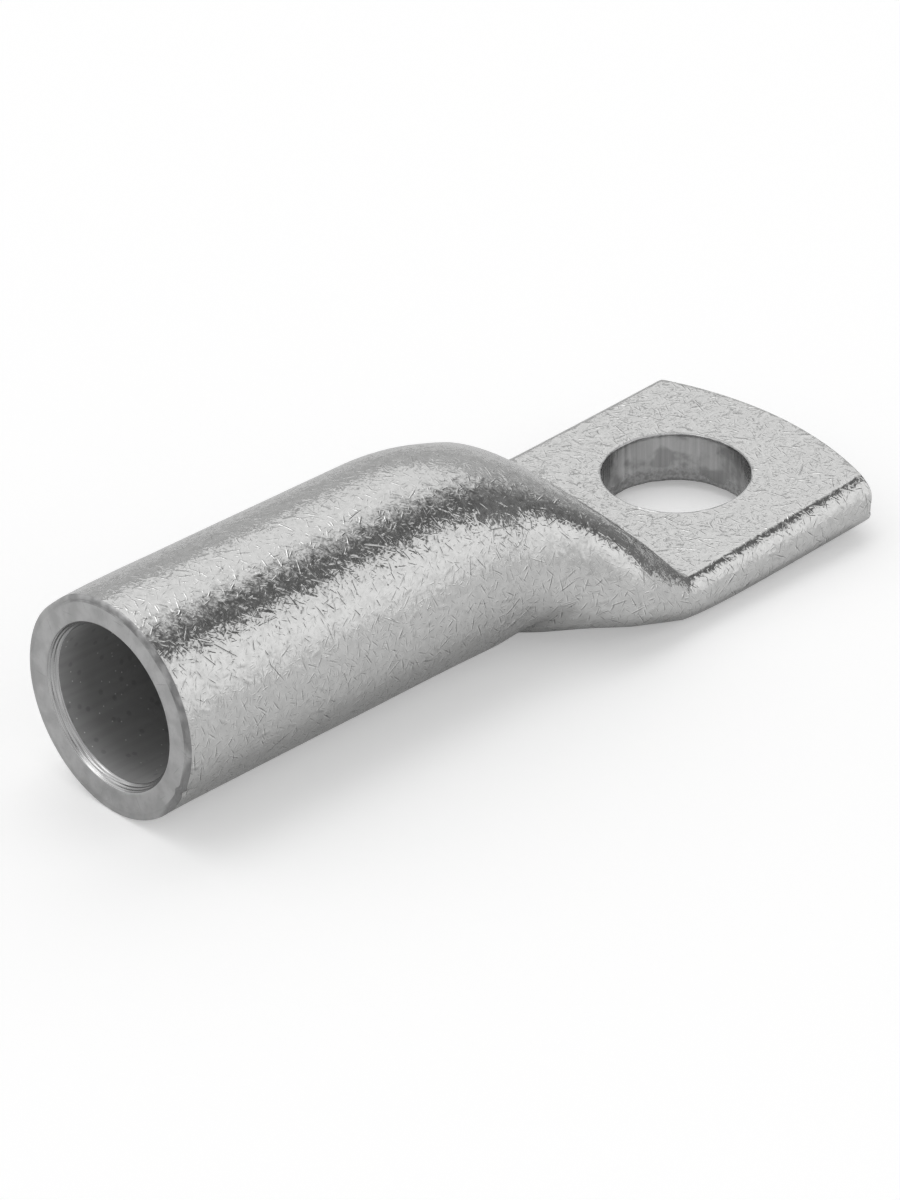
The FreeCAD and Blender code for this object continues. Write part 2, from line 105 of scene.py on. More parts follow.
@dataclass(frozen=True)
class TubeForm:
    """The pressed tube's form: its sizes in millimetres and its cross-sections.

    The origin is the centre of the barrel's mouth, x runs along the barrel and z is up.
    """

    radius: float = 9.5
    wall: float = 2.75
    mouth_chamfer: float = 0.5
    rim_bevel: float = 0.25
    foot: float = 53.6
    heel: float = 60.4
    hole: float = 65.6
    tip: float = 78.6
    hole_radius: float = 6.5
    palm_half: float = 13.3
    palm_thickness: float = 4.9
    tilt: float = math.radians(2.86)
    corner: float = math.radians(34.0)
    side_height: float = 0.41
    tip_radius: float = 31.4
    tip_corner: float = 0.9
    hump_radius: float = 24.4
    ramp: float = math.radians(53.0)
    foot_softness: float = 0.6
    flare_start: float = 37.9
    flare_end: float = 48.6
    crown_end: float = 51.0
    closed_slit: float = 0.3
    cap: float = math.radians(50.0)
    edge_softness: float = 0.2
    shoulder: float = math.radians(24.0)
    shoulder_at_tip: float = math.radians(31.0)
    tip_bulge: float = 0.8
    tip_draw: float = 0.30
    tip_slant: float = 0.12
    heel_softness: float = 0.4
    side_softness: float = 3.2
    side_dip: float = 0.07
    side_dip_run: Floats = (38.0, 46.0, 46.0, 54.0)
    arch: float = 0.12
    arch_run: Floats = (41.0, 47.0, 52.0, 61.0)
    foot_kink: float = math.radians(15.0)
    foot_kink_reach: float = 1.8
    bend_limit: float = 0.4
    least_angle: float = 1e-6

    @property
    def upright(self) -> float:
        """The palm's thickness measured straight up."""
        return self.palm_thickness / math.cos(self.tilt)

    def palm_top(self, along: Array) -> Array:
        """Height of the palm's top plane over a place along the tube."""
        return self.upright - self.radius + math.tan(self.tilt) * (along - self.heel)

    def sole(self, along: Array) -> Array:
        """Height of the underside: barrel and palm with a soft heel between, arched at the neck."""
        palm = self.palm_top(along) - self.upright
        return soft_max(palm, -self.radius, self.heel_softness) + self.arch * hill(along, self.arch_run)

    def pressed(self, along: Array) -> Array:
        """How far the tube is pressed: 0 where the flare ends, 1 at the foot."""
        return passed(along, self.flare_end, self.foot)

    def cap_angle(self, along: Array, start: float, end: float) -> Array:
        """Half angle of the crown's or floor's arc: full before start, almost flat past end."""
        left = 1.0 - np.clip((along - start) / (end - start), 0.0, 1.0)
        return np.maximum(self.cap * left, self.least_angle)

    @property
    def hump_end(self) -> float:
        """Where the hump's arc runs out into the straight ramp."""
        top = self.radius - self.hump_radius * (1.0 - math.cos(self.ramp))
        return self.foot - (top - self.palm_top(self.foot)) / math.tan(self.ramp)

    @property
    def hump_start(self) -> float:
        """Where the barrel's straight top line ends."""
        return self.hump_end - self.hump_radius * math.sin(self.ramp)

    @property
    def bore_end(self) -> float:
        """Where the pressed bore is down to its closed slit."""
        closed = 2.0 * self.wall + self.closed_slit - self.radius
        return self.foot - (closed - self.palm_top(self.foot)) / math.tan(self.ramp)

    def tip_line(self, across: Array) -> Array:
        """Where the shear cut the tip: a wide arc, and near the sides a small corner arc.

        Args:
            across: distances from the middle plane.

        Returns:
            The place along the tube of the sheared face at each of them.
        """
        reach = np.abs(across)
        centre = self.tip - self.tip_radius
        inner = self.palm_half - self.tip_corner
        corner_at = centre + math.sqrt((self.tip_radius - self.tip_corner) ** 2 - inner ** 2)
        turn = inner * self.tip_radius / (self.tip_radius - self.tip_corner)
        wide = centre + np.sqrt(np.maximum(self.tip_radius ** 2 - reach ** 2, 0.0))
        corner = corner_at + np.sqrt(np.maximum(self.tip_corner ** 2 - (reach - inner) ** 2, 0.0))
        return np.where(reach < turn, wide, corner)

    def section(self, along: Array, inset: Array, outside: bool) -> dict[str, Array]:
        """Sizes of the cross-section at each place: crown, flanks and floor, as arcs.

        The top follows the barrel, the hump's arc, the ramp and the palm in turn, with a soft
        foot where ramp and palm meet. The flanks move out along an eased step, and their widest
        line sinks with the top, a little ahead of it at the neck.

        Args:
            along: places along the tube.
            inset: how far the section lies inside the outer face.
            outside: True for the skin, False for the bore.

        Returns:
            The section's heights, half widths, radii and angles, each as an array.
        """
        palm = self.palm_top(along)
        run = np.clip(along - self.hump_start, 0.0, self.hump_radius * math.sin(self.ramp))
        hump = self.radius - self.hump_radius + np.sqrt(self.hump_radius ** 2 - run ** 2)
        ramp = self.palm_top(self.foot) + (self.foot - along) * math.tan(self.ramp)
        tube = np.where(along < self.hump_end, hump, ramp)
        if outside:
            soft = soft_max(tube, palm, self.foot_softness)
            top = np.where(along < self.hump_end, tube, soft) - inset
            lid = soft_max(tube, palm, self.side_softness) - inset
            bottom = self.sole(along) + inset
            floor = self.cap_angle(along, self.flare_start, self.foot)
            kink = self.corner * self.pressed(along)
        else:
            top = lid = tube - inset
            bottom = np.maximum(-self.radius, palm - self.upright) + inset
            floor = self.cap_angle(along, self.flare_start, self.crown_end)
            kink = np.zeros_like(along)
        crown = self.cap_angle(along, self.hump_start, self.crown_end)
        flare = passed(along, self.flare_start, self.flare_end)
        half = self.radius + (self.palm_half - self.radius) * flare - inset
        sink = passed(along, self.hump_start, self.foot)
        share = 0.5 - (0.5 - self.side_height) * sink - self.side_dip * hill(along, self.side_dip_run)
        widest = bottom + (lid - bottom) * share
        upper_tangent = np.tan((math.pi / 2 - crown - kink) / 2)
        lower_tangent = np.tan((math.pi / 2 - floor) / 2)
        top_y = (half - (top - widest) * upper_tangent) / (1.0 - np.tan(crown / 2) * upper_tangent)
        top_z = top - top_y * np.tan(crown / 2)
        low_y = (half - (widest - bottom) * lower_tangent) / (1.0 - np.tan(floor / 2) * lower_tangent)
        low_z = bottom + low_y * np.tan(floor / 2)
        return {
            "top": top, "bottom": bottom, "half": half, "widest": widest,
            "crown": crown, "floor": floor, "kink": kink,
            "top_y": top_y, "top_z": top_z, "low_y": low_y, "low_z": low_z,
            "upper": (top_z - widest) / np.cos(crown + kink),
            "lower": (widest - low_z) / np.cos(floor),
        }


@dataclass(frozen=True)
class RingSteps:
    """How many steps the half ring has on each of its stretches, from the top's middle down."""

    crown: int = 32
    bend: int = 4
    upper: int = 20
    lower: int = 24
    floor: int = 32

    @property
    def stretches(self) -> tuple[int, ...]:
        """The steps of the five stretches in order."""
        return (self.crown, self.bend, self.upper, self.lower, self.floor)

    def shares(self) -> tuple[Array, Array]:
        """The stretch that each point of the half ring is on, and how far along it.

        Returns:
            Two arrays with one value for each point of the half ring.
        """
        which = np.concatenate([np.full(n, k) for k, n in enumerate(self.stretches)] + [[4]])
        share = np.concatenate([np.arange(n) / n for n in self.stretches] + [[1.0]])
        return which, share


def half_ring(form: TubeForm, steps: RingSteps, along: Array, inset: Array,
              outside: bool = True) -> Array:
    """Points of the half section with y at or above 0, from the top's middle to the bottom's.

    Crown and floor are arcs about the middle plane, the flanks are arcs that stand upright at the
    widest line, and a short parabola rounds the corner between crown and upper flank. On the palm
    the upper flank goes over into a parabola that starts flatter, so the edge has a shoulder.

    Args:
        form: the pressed tube.
        steps: the ring's points.
        along: places along the tube, one row for each station, one column for each ring point.
        inset: how far inside the outer face, of a shape that goes with along.
        outside: True for the skin, False for the bore.

    Returns:
        Array of rows, columns and x, y, z.
    """
    size = form.section(along, inset, outside)
    which, share = steps.shares()
    soft = form.edge_softness
    short = 1.0 - soft / np.maximum(size["top_y"], 1.0)
    sweep = math.pi / 2 - size["crown"] - size["kink"]
    bend = np.minimum(soft / np.maximum(size["upper"], soft), form.bend_limit * sweep)
    sweep_left = sweep - bend

    def crown_at(part: Array) -> tuple[Array, Array]:
        """Arc of the crown, from the middle out."""
        turn = part * short * size["crown"]
        scale = size["top_y"] / np.sin(size["crown"])
        return scale * np.sin(turn), size["top"] - scale * (1.0 - np.cos(turn))

    pressed = form.pressed(along) if outside else 0.0
    tipward = passed(along, form.foot, form.tip)
    lean = form.shoulder + (form.shoulder_at_tip - form.shoulder) * tipward
    lean = lean + form.foot_kink * np.exp(-((along - form.foot) / form.foot_kink_reach) ** 2)
    knee = size["top_z"] - (size["half"] - size["top_y"]) * np.tan(lean)
    begin = soft / (2.0 * np.hypot(size["half"] - size["top_y"], size["top_z"] - knee))

    def upper_at(part: Array) -> tuple[Array, Array]:
        """Upper flank: an arc that goes over into a parabola as the tube is pressed."""
        turn = sweep_left * (1.0 - part)
        out = size["half"] - size["upper"] + size["upper"] * np.cos(turn)
        height = size["widest"] + size["upper"] * np.sin(turn)
        gone = begin + (1.0 - begin) * part
        left = 1.0 - gone
        round_out = left ** 2 * size["top_y"] + (1.0 - left ** 2) * size["half"]
        round_up = left ** 2 * size["top_z"] + 2.0 * left * gone * knee + gone ** 2 * size["widest"]
        return out + (round_out - out) * pressed, height + (round_up - height) * pressed

    def bend_at(part: Array) -> tuple[Array, Array]:
        """Short parabola from the crown's end to the upper flank's start."""
        first, last, rest = crown_at(1.0), upper_at(0.0), 1.0 - part
        kinks = (size["top_y"], size["top_z"])
        return tuple(rest ** 2 * a + 2.0 * rest * part * k + part ** 2 * b
                     for a, k, b in zip(first, kinks, last))

    def lower_at(part: Array) -> tuple[Array, Array]:
        """Arc of the lower flank, from the widest line down."""
        turn = (math.pi / 2 - size["floor"]) * part
        out = size["half"] - size["lower"] + size["lower"] * np.cos(turn)
        return out, size["widest"] - size["lower"] * np.sin(turn)

    def floor_at(part: Array) -> tuple[Array, Array]:
        """Arc of the floor, from the flank in to the middle."""
        turn = (1.0 - part) * size["floor"]
        scale = size["low_y"] / np.sin(size["floor"])
        return scale * np.sin(turn), size["bottom"] + scale * (1.0 - np.cos(turn))

    made = [stretch(share) for stretch in (crown_at, bend_at, upper_at, lower_at, floor_at)]
    chosen = [np.broadcast_to(which == k, along.shape) for k in range(5)]
    across = np.select(chosen, [np.broadcast_to(m[0], along.shape) for m in made])
    height = np.select(chosen, [np.broadcast_to(m[1], along.shape) for m in made])
    return np.stack([along, across, height], axis=-1)


def full_ring(half: Array) -> Array:
    """Both halves: from the bottom's middle up the side of low y, over the top, and down again."""
    mirrored = half[:, :0:-1] * np.array([1.0, -1.0, 1.0])
    return np.concatenate([mirrored, half], axis=1)


@dataclass
class Patch:
    """A grid of points in millimetres, with its place on the chart and its finish."""

    points: Array
    chart: Array
    zone: Zone
    turned: bool = False


@dataclass
class Skin:
    """Patches that are welded where their points meet."""

    patches: list[Patch] = field(default_factory=list)

    def add(self, points: Array, chart: Array, zone: Zone, turned: bool = False) -> None:
        """Keep one more patch; turned faces it the other way."""
        self.patches.append(Patch(points, chart, zone, turned))

    def welded(self) -> tuple[Array, Array, Array, Array]:
        """Join the patches: points nearer than a ten-thousandth of a millimetre become one.

        Returns:
            The points, the corners of each face, each corner's place on the chart and each
            face's zone. A face with two equal corners keeps them, for later.
        """
        corners, charts, zones, start = [], [], [], 0
        for patch in self.patches:
            rows, columns = patch.points.shape[:2]
            index = np.arange(rows * columns).reshape(rows, columns) + start
            quads = np.stack([index[:-1, :-1], index[1:, :-1], index[1:, 1:], index[:-1, 1:]], axis=-1)
            quads = quads.reshape(-1, 4)
            quads = quads[:, ::-1] if patch.turned else quads
            corners.append(quads)
            charts.append(patch.chart.reshape(-1, 2))
            zones.append(np.full(len(quads), patch.zone.value))
            start += rows * columns
        points = np.concatenate([p.points.reshape(-1, 3) for p in self.patches])
        corners, chart = np.concatenate(corners), np.concatenate(charts)
        _, first, inverse = np.unique(np.round(points, 4), axis=0, return_index=True, return_inverse=True)
        return points[first], inverse.reshape(-1)[corners], chart[corners], np.concatenate(zones)


def around_length(points: Array, middle: int) -> Array:
    """Distance round each ring from its column in the top's middle, negative on the first side."""
    steps = np.linalg.norm(np.diff(points, axis=1), axis=-1)
    run = np.concatenate([np.zeros((len(points), 1)), np.cumsum(steps, axis=1)], axis=1)
    return run - run[:, middle:middle + 1]


def blend(start: Array, end: Array, shares: Array) -> Array:
    """Straight lines from start to end: one row for each share."""
    return start[None] + (end - start)[None] * shares[:, None, None]


@dataclass(frozen=True)
class Lattice:
    """Smooth noise: random values at the points of a lattice, eased between them.

    Spacing and height are in millimetres.
    """

    seed: int
    spacing: float
    height: float
    size: int = 24
    shift: float = 1000.0

    def at(self, points: Array) -> Array:
        """The noise at each point.

        Args:
            points: points in millimetres, in any number of rows and columns.

        Returns:
            Values from about minus the height to the height.
        """
        values = np.random.default_rng(self.seed).uniform(-1.0, 1.0, (self.size,) * 3)
        place = points / self.spacing + self.shift
        cell = np.floor(place).astype(int)
        part = eased(place - cell)
        total = np.zeros(points.shape[:-1])
        for corner in product((0, 1), repeat=3):
            weight = np.prod(np.where(corner, part, 1.0 - part), axis=-1)
            near = (cell + corner) % self.size
            total += weight * values[near[..., 0], near[..., 1], near[..., 2]]
        return total * self.height


@dataclass(frozen=True)
class MouthForm:
    """Profile of the barrel's mouth, as radii and depths from the rim inwards.

    It is a quarter of an ellipse, a low lip with a groove inside it, the flat face, and the
    lead-in, whose radius falls by a power of its depth. Turned about the barrel's axis it gives
    the mouth's rings.
    """

    tube: TubeForm
    bevel: float = 0.27
    lip: tuple[Floats, ...] = (
        (9.17, -0.02), (9.11, 0.0), (9.06, 0.05), (9.0, 0.055), (8.94, 0.015), (8.88, 0.0))
    face_radius: float = 8.7
    face_gap: float = 0.06
    face_steps: int = 9
    lead_start: float = 0.02
    lead_depth: float = 0.8
    lead_power: float = 0.85
    lead_steps: int = 17
    lead_stretch: float = 3.0
    ridge: float = 0.011
    ridge_count: float = 3.3
    groove_kept: float = 0.15
    groove_run: Floats = (-0.1, 0.5)
    uneven: Lattice = Lattice(7, 2.2, 0.6)
    evenness: float = 0.9
    waver_inside: float = 9.12
    wavers: tuple[Lattice, ...] = (Lattice(5, 2.6, 0.022), Lattice(6, 0.9, 0.014))

    @property
    def bore(self) -> float:
        """Radius of the bore."""
        return self.tube.radius - self.tube.wall

    def profiles(self) -> tuple[Array, Array, Array, Array]:
        """Bevel, lip, face and lead-in, each starting where the one before it ends."""
        quarter = np.linspace(0.0, math.pi / 2, 6)
        bevel = np.stack([self.tube.radius - self.bevel * (1.0 - np.cos(quarter)),
                          self.tube.rim_bevel * (1.0 - np.sin(quarter))], axis=1)
        lip = np.array(self.lip)
        chamfer = self.tube.mouth_chamfer
        inwards = np.linspace(self.face_radius, self.bore + chamfer + self.face_gap, self.face_steps)
        face = np.stack([inwards, np.zeros(self.face_steps)], axis=1)
        share = np.linspace(0.0, 1.0, self.lead_steps)
        lead = np.stack([self.bore + chamfer * (1.0 - share) ** self.lead_power,
                         share * self.lead_depth + self.lead_start], axis=1)
        return (bevel, np.concatenate([bevel[-1:], lip]),
                np.concatenate([lip[-1:], face, lead[:1]]), lead)

    def turned(self, profile: Array, turn: Array) -> Array:
        """Rings of a profile: one row for each of its points, one column for each angle."""
        radius = profile[:, :1]
        deep = np.repeat(profile[:, 1:], len(turn), axis=1)
        return np.stack([deep, radius * np.cos(turn), radius * np.sin(turn)], axis=-1)

    def groove(self, turn: Array) -> Array:
        """Share of the lip's depth that is there at each angle: all of it on the side where the rim's shade
        is painted.
        """
        worn = passed(np.cos(turn - math.radians(PAINTED_RIM_SHADE_SIDE)), *self.groove_run)
        return self.groove_kept + (1.0 - self.groove_kept) * worn

    def ridges(self, rings: Array, radii: Array) -> Array:
        """Factor on the lead-in's radii: a sine wave along it, low at both ends and uneven round it."""
        share = np.linspace(0.0, 1.0, self.lead_steps)
        wave = self.ridge * np.sin(share * math.tau * self.ridge_count) * np.sin(share * math.pi) ** 0.5
        return 1.0 + wave[:, None] * (self.evenness + self.uneven.at(rings)) / radii[:, None]

    def waver(self, rings: Array, radii: Array) -> Array:
        """How far the sawn face stands out of its plane: smooth noise, but none at its borders."""
        wavy = (radii < self.waver_inside) & (radii > self.bore + self.tube.mouth_chamfer)
        return np.where(wavy[:, None], sum(waver.at(rings) for waver in self.wavers), 0.0)


@dataclass(frozen=True)
class HoleForm:
    """Edge and wall of the stud hole, as growths of its radius by depth.

    The rolled edge is a list of growths and depths from the outside in; a negative depth is a
    share of the burr, which stands up. Below an uneven line, given as a share of the palm's
    thickness, the wall is torn and widens.
    """

    rolled: tuple[Floats, ...] = (
        (0.17, 0.0), (0.11, -1.0), (0.05, -0.6), (0.02, 0.05), (0.0, 0.12))
    burr: float = 0.015
    burr_waver: Lattice = Lattice(11, 0.7, 0.12)
    torn_from: float = 0.74
    torn_from_wavers: tuple[Lattice, ...] = (Lattice(12, 4.2, 0.14), Lattice(13, 0.9, 0.03))
    torn_run: float = 0.07
    torn_growth: float = 0.07
    torn_taper: float = 0.22
    torn_wavers: tuple[Lattice, ...] = (Lattice(14, 0.45, 0.05), Lattice(15, 1.3, 0.06))

    def wall(self, ring: Array, full: Array, rows: int) -> tuple[Array, Array]:
        """Growth and depth of the wall.

        Args:
            ring: points of the hole's circle, about its own centre.
            full: the palm's depth at each of them.
            rows: rows below the rolled edge.

        Returns:
            Growth and depth, each with a row for each ring from top to bottom.
        """
        burr = self.burr + np.maximum(self.burr_waver.at(ring), 0.0)
        edge = self.torn_from + sum(waver.at(ring) for waver in self.torn_from_wavers)
        growth, down, burr = np.broadcast_arrays(*np.array(self.rolled).T[..., None], burr)
        rolled_depth = np.where(down < 0.0, burr * down, down)
        start = self.rolled[-1][1]
        share = np.linspace(0.0, 1.0, rows + 1)[1:, None]
        depth = start + (full - start) * share
        place = np.stack(np.broadcast_arrays(ring[:, 0], ring[:, 1], depth), axis=-1)
        rough = sum(waver.at(place) for waver in self.torn_wavers)
        torn = self.torn_growth + self.torn_taper * np.maximum(share - edge, 0.0) + rough
        torn = torn * eased((share - edge) / self.torn_run)
        return np.concatenate([growth, torn]), np.concatenate([rolled_depth, depth])


@dataclass(frozen=True)
class RimMark:
    """Push of the mouth's rim: a bell curve of the angle that dies away along the barrel.

    Height and fade are in millimetres, angle and width in degrees.
    """

    height: float
    angle: float
    width: float
    fade: float

    def push(self, turn: Array, along: Array) -> Array:
        """How far out each point goes, by its angle and its place along the barrel."""
        off = (turn - self.angle + 180.0) % 360.0 - 180.0
        return self.height * np.exp(-(off / self.width) ** 2 - along / self.fade)


# A flattened stretch, a nick, the metal that it pushed up, and two stretches of fine burr
RIM_MARKS = (
    RimMark(-0.20, 47.0, 12.0, 2.2),
    RimMark(-0.26, NICK_AT, 1.9, 0.8),
    RimMark(0.10, -158.5, 2.2, 0.9),
    RimMark(0.20, -98.0, 36.0, 1.6),
    RimMark(0.08, 170.0, 30.0, 1.0),
)


@dataclass(frozen=True)
class NeckValley:
    """Shallow valley down each flank where the neck starts, deeper and drawn back low down."""

    at: float = 42.0
    width: float = 1.7
    drawn_back: float = 2.0
    depth: float = 0.10
    low_depth: float = 0.36
    down_run: Floats = (-3.0, 1.0)
    low_run: Floats = (2.6, 6.8)
    side_run: Floats = (2.0, 5.0)
    outside: float = 8.0

    def cut(self, points: Array, reach: Array) -> Array:
        """Depth of the valley at each point, a bell curve along the tube.

        Args:
            points: the skin's points.
            reach: their distances from the barrel's axis.

        Returns:
            Depths in millimetres.
        """
        down, low = (passed(-points[:, 2], *run) for run in (self.down_run, self.low_run))
        path = points[:, 0] - self.at + self.drawn_back * low
        depth = self.depth * down + self.low_depth * low
        sides = passed(np.abs(points[:, 1]), *self.side_run) * (reach > self.outside)
        return depth * np.exp(-(path / self.width) ** 2) * sides


@dataclass
class Terminal:
    """The whole terminal: barrel, neck, palm, bore and stud hole as one closed skin."""

    form: TubeForm = TubeForm()
    steps: RingSteps = RingSteps()
    hole_form: HoleForm = HoleForm()
    valley: NeckValley = NeckValley()
    palm_run: int = 64
    palm_rings: int = 26
    palm_crowding: float = 1.25
    hole_rows: int = 16
    tip_rows: int = 8
    palm_from: float = 54.2
    tip_edge: float = 0.15
    under_chart: float = 100.0
    swells: tuple[Lattice, ...] = (Lattice(1, 5.5, 0.018), Lattice(2, 1.7, 0.006))
    rim_run: Floats = (8.2, 9.2)
    rim_end: float = 12.0

    @property
    def columns(self) -> int:
        """Points of the full ring, the closing one included."""
        return 2 * sum(self.steps.stretches) + 1

    @property
    def middle(self) -> int:
        """Column in the middle of the top."""
        return sum(self.steps.stretches)

    def ring_at(self, along: Array, inset: Array, outside: bool = True) -> Array:
        """Full rings at the given places, one row each."""
        columns = self.middle + 1
        wide = np.repeat(np.asarray(along, float)[:, None], columns, axis=1)
        deep = np.repeat(np.asarray(inset, float)[:, None], columns, axis=1)
        return full_ring(half_ring(self.form, self.steps, wide, deep, outside))

    def chart_of(self, points: Array) -> Array:
        """Chart of rings: the place along the tube and the distance round the ring."""
        return np.stack([points[..., 0], around_length(points, self.middle)], axis=-1)

    def tube_skin(self, skin: Skin) -> None:
        """Outer face from the mouth's bevel to the start of the palm: rings along the tube."""
        form = self.form
        stops = (form.rim_bevel, 2.0, form.hump_start, form.foot - 1.0, self.palm_from)
        along = stations(stops, (8, 73, 83, 16))
        points = self.ring_at(along, np.zeros(len(along)))
        skin.add(points, self.chart_of(points), Zone.TIN)

    def mouth(self, skin: Skin) -> None:
        """Bevel, lip, sawn face, lead-in and bore: rings that go in from the rim.

        The lip's groove, the face's waver and the lead-in's ridges are the mouth form's.
        """
        form, mouth = self.form, MouthForm(self.form)
        rim = self.ring_at([form.rim_bevel], [0.0])[0]
        turn = np.arctan2(rim[:, 2], rim[:, 1])
        profiles = mouth.profiles()
        bevel, lip, face, lead = (mouth.turned(profile, turn) for profile in profiles)
        bevel[0] = rim
        lip[1:, :, 0] *= mouth.groove(turn)
        for rings, profile in ((lip, profiles[1]), (face, profiles[2])):
            rings[..., 0] += mouth.waver(rings, profile[:, 0])
        lead[..., 1:] *= mouth.ridges(lead, profiles[3][:, 0])[..., None]
        for rings, zone in ((bevel, Zone.RIM), (lip, Zone.RIM), (face, Zone.CUT)):
            skin.add(rings, rings[..., 1:], zone, turned=True)
        spun = np.broadcast_arrays(profiles[3][:, 1:] * mouth.lead_stretch, turn * mouth.bore)
        skin.add(lead, np.stack(spun, axis=-1), Zone.LEAD, turned=True)
        stops = (mouth.lead_depth + mouth.lead_start, form.hump_start, form.bore_end)
        along = stations(stops, (11, 23))
        inner = self.ring_at(along, np.full(len(along), form.wall), outside=False)
        inner[0] = lead[-1]
        skin.add(inner, self.chart_of(inner), Zone.BORE, turned=True)
        self.cap(skin, inner[-1], Zone.BORE, rows=2, turned=True)

    def cap(self, skin: Skin, ring: Array, zone: Zone, rows: int, turned: bool = False,
            bulge: float = 0.0) -> None:
        """Close the end of a ring: lines from each point of its top to the one below it.

        Args:
            skin: where the patch goes.
            ring: the last ring.
            zone: its finish.
            rows: rows of faces between top and bottom.
            turned: faces it back along the tube.
            bulge: how far the cap's middle line stands out, as a parabola over its height.
        """
        half = self.middle
        side = self.steps.crown + self.steps.bend + self.steps.upper
        top = ring[half - side:half + side + 1]
        below = np.concatenate([ring[half - side::-1], ring[-2:half + side - 1:-1]])
        shares = np.linspace(0.0, 1.0, rows + 1)
        points = blend(top, below, shares)
        if bulge > 0.0:
            swing = self.swing(top)
            points[..., 0] += bulge * swing[None] ** 2 * (4.0 * shares * (1.0 - shares))[:, None]
        skin.add(points, points[..., 1:], zone, turned)

    def swing(self, points: Array) -> Array:
        """Height of points at the tip, from -1 at the underside to 1 at the palm's top."""
        form = self.form
        top = form.palm_top(form.tip)
        return np.clip((points[..., 2] - top + 0.5 * form.upright) / (0.5 * form.upright), -1.0, 1.0)

    def tip_reach(self) -> Array:
        """Where each point of the half ring ends at the tip.

        The sheared line of its distance from the middle plane, drawn out a little, slanted, and
        bulged as a parabola over the palm's thickness.
        """
        form = self.form
        end = half_ring(form, self.steps, np.full((1, self.middle + 1), form.tip), np.zeros((1, 1)))[0]
        swing = self.swing(end)
        bulged = form.tip_bulge * (1.0 - swing ** 2)
        return form.tip_line(end[:, 1]) + form.tip_draw - form.tip_slant * swing + bulged

    def palm_grid(self) -> Array:
        """Rings of the palm from its start to the sheared tip, whose line each point runs to."""
        shares = np.linspace(0.0, 1.0, self.palm_run + 1)
        run = self.tip_reach() - self.tip_edge - self.palm_from
        along = self.palm_from + run[None] * shares[:, None]
        return full_ring(half_ring(self.form, self.steps, along, np.zeros(along.shape)))

    def palm(self, skin: Skin) -> None:
        """Sides, top, underside, tip and stud hole of the palm."""
        form, steps = self.form, self.steps
        grid = self.palm_grid()
        chart = self.chart_of(grid)
        low, high = self.middle - steps.crown, self.middle + steps.crown
        under, over = steps.floor, self.columns - steps.floor
        for columns in (slice(under, low + 1), slice(high, over)):
            skin.add(grid[:, columns], chart[:, columns], Zone.TIN)
        top = grid[:, low:high + 1]
        bottom = np.concatenate([grid[:, over - 1:-1], grid[:, :under + 1]], axis=1)[:, ::-1]
        turns = self.hole_turns(top)
        wall, depth = self.hole_wall(turns)
        around = np.broadcast_to(turns * form.hole_radius, depth.shape)
        skin.add(wall, np.stack([around, depth], axis=-1), Zone.PUNCHED, turned=True)
        self.flat(skin, top, wall[0], turned=False)
        self.flat(skin, bottom, wall[-1], turned=True)
        self.tip_face(skin, grid[-1])

    def hole_turns(self, top: Array) -> Array:
        """Angle about the stud hole of each point of the palm's border."""
        border = self.border(top)
        return np.unwrap(np.arctan2(border[:, 1], border[:, 0] - self.form.hole))

    @staticmethod
    def border(face: Array) -> Array:
        """Border of a grid as one closed line: along the first row, up a side, back, and down."""
        return np.concatenate([face[0, ::-1], face[1:, 0], face[-1, 1:], face[-2::-1, -1]])

    def hole_wall(self, turns: Array) -> tuple[Array, Array]:
        """Punched wall of the stud hole: rings from the palm's top down to its underside.

        Each ring is a circle about the hole's axis, which is square to the palm's top, and its
        radius grows by the hole form's function of depth.

        Args:
            turns: angles about the hole.

        Returns:
            The points in rows from top to bottom, and the depth of each.
        """
        form = self.form
        level, lift = math.cos(form.tilt), math.sin(form.tilt)
        circle = np.stack([np.cos(turns), np.sin(turns), np.zeros(len(turns))], axis=1)
        centre = np.array([form.hole, 0.0, form.palm_top(form.hole)])
        reach = circle @ np.array([[level, 0.0, lift], [0.0, 1.0, 0.0], [0.0, 0.0, 0.0]])
        edge = centre + form.hole_radius * reach
        sole = form.sole(edge[:, 0] + form.palm_thickness * lift)
        full = (edge[:, 2] - sole) / level
        growth, depth = self.hole_form.wall(circle * form.hole_radius, full, self.hole_rows)
        down = depth[..., None] * np.array([-lift, 0.0, level])
        return centre + (form.hole_radius + growth)[..., None] * reach - down, depth

    def flat(self, skin: Skin, face: Array, rim: Array, turned: bool) -> None:
        """Flat of the palm: straight lines from the hole's edge out to the border.

        Args:
            skin: where the patch goes.
            face: the flat's grid, of which only the border is used.
            rim: the hole's edge, one point for each of the border's.
            turned: True for the underside.
        """
        border = self.border(face)
        shares = np.linspace(0.0, 1.0, self.palm_rings + 1) ** self.palm_crowding
        points = blend(rim, border, shares)
        if turned:
            sole = self.form.sole(points[..., 0])
            points[..., 2] = np.where(np.arange(len(points))[:, None] > 0, sole, points[..., 2])
            points[-1] = border
        chart = points[..., :2] + np.array([0.0, self.under_chart if turned else 0.0])
        skin.add(points, chart, Zone.TIN, turned)

    def tip_face(self, skin: Skin, last: Array) -> None:
        """Sheared tip: a small quarter-round edge, then the bulging face."""
        reach, edge = self.tip_reach(), self.tip_edge
        rows = [last]
        for turn in np.linspace(0.0, math.pi / 2, 5)[1:]:
            along = (reach - edge * (1.0 - math.sin(turn)))[None]
            inset = np.full_like(along, edge * (1.0 - math.cos(turn)))
            rows.append(full_ring(half_ring(self.form, self.steps, along, inset))[0])
        points = np.stack(rows)
        skin.add(points, self.chart_of(points), Zone.TIN)
        self.cap(skin, points[-1], Zone.CUT, rows=self.tip_rows, bulge=self.form.tip_bulge)

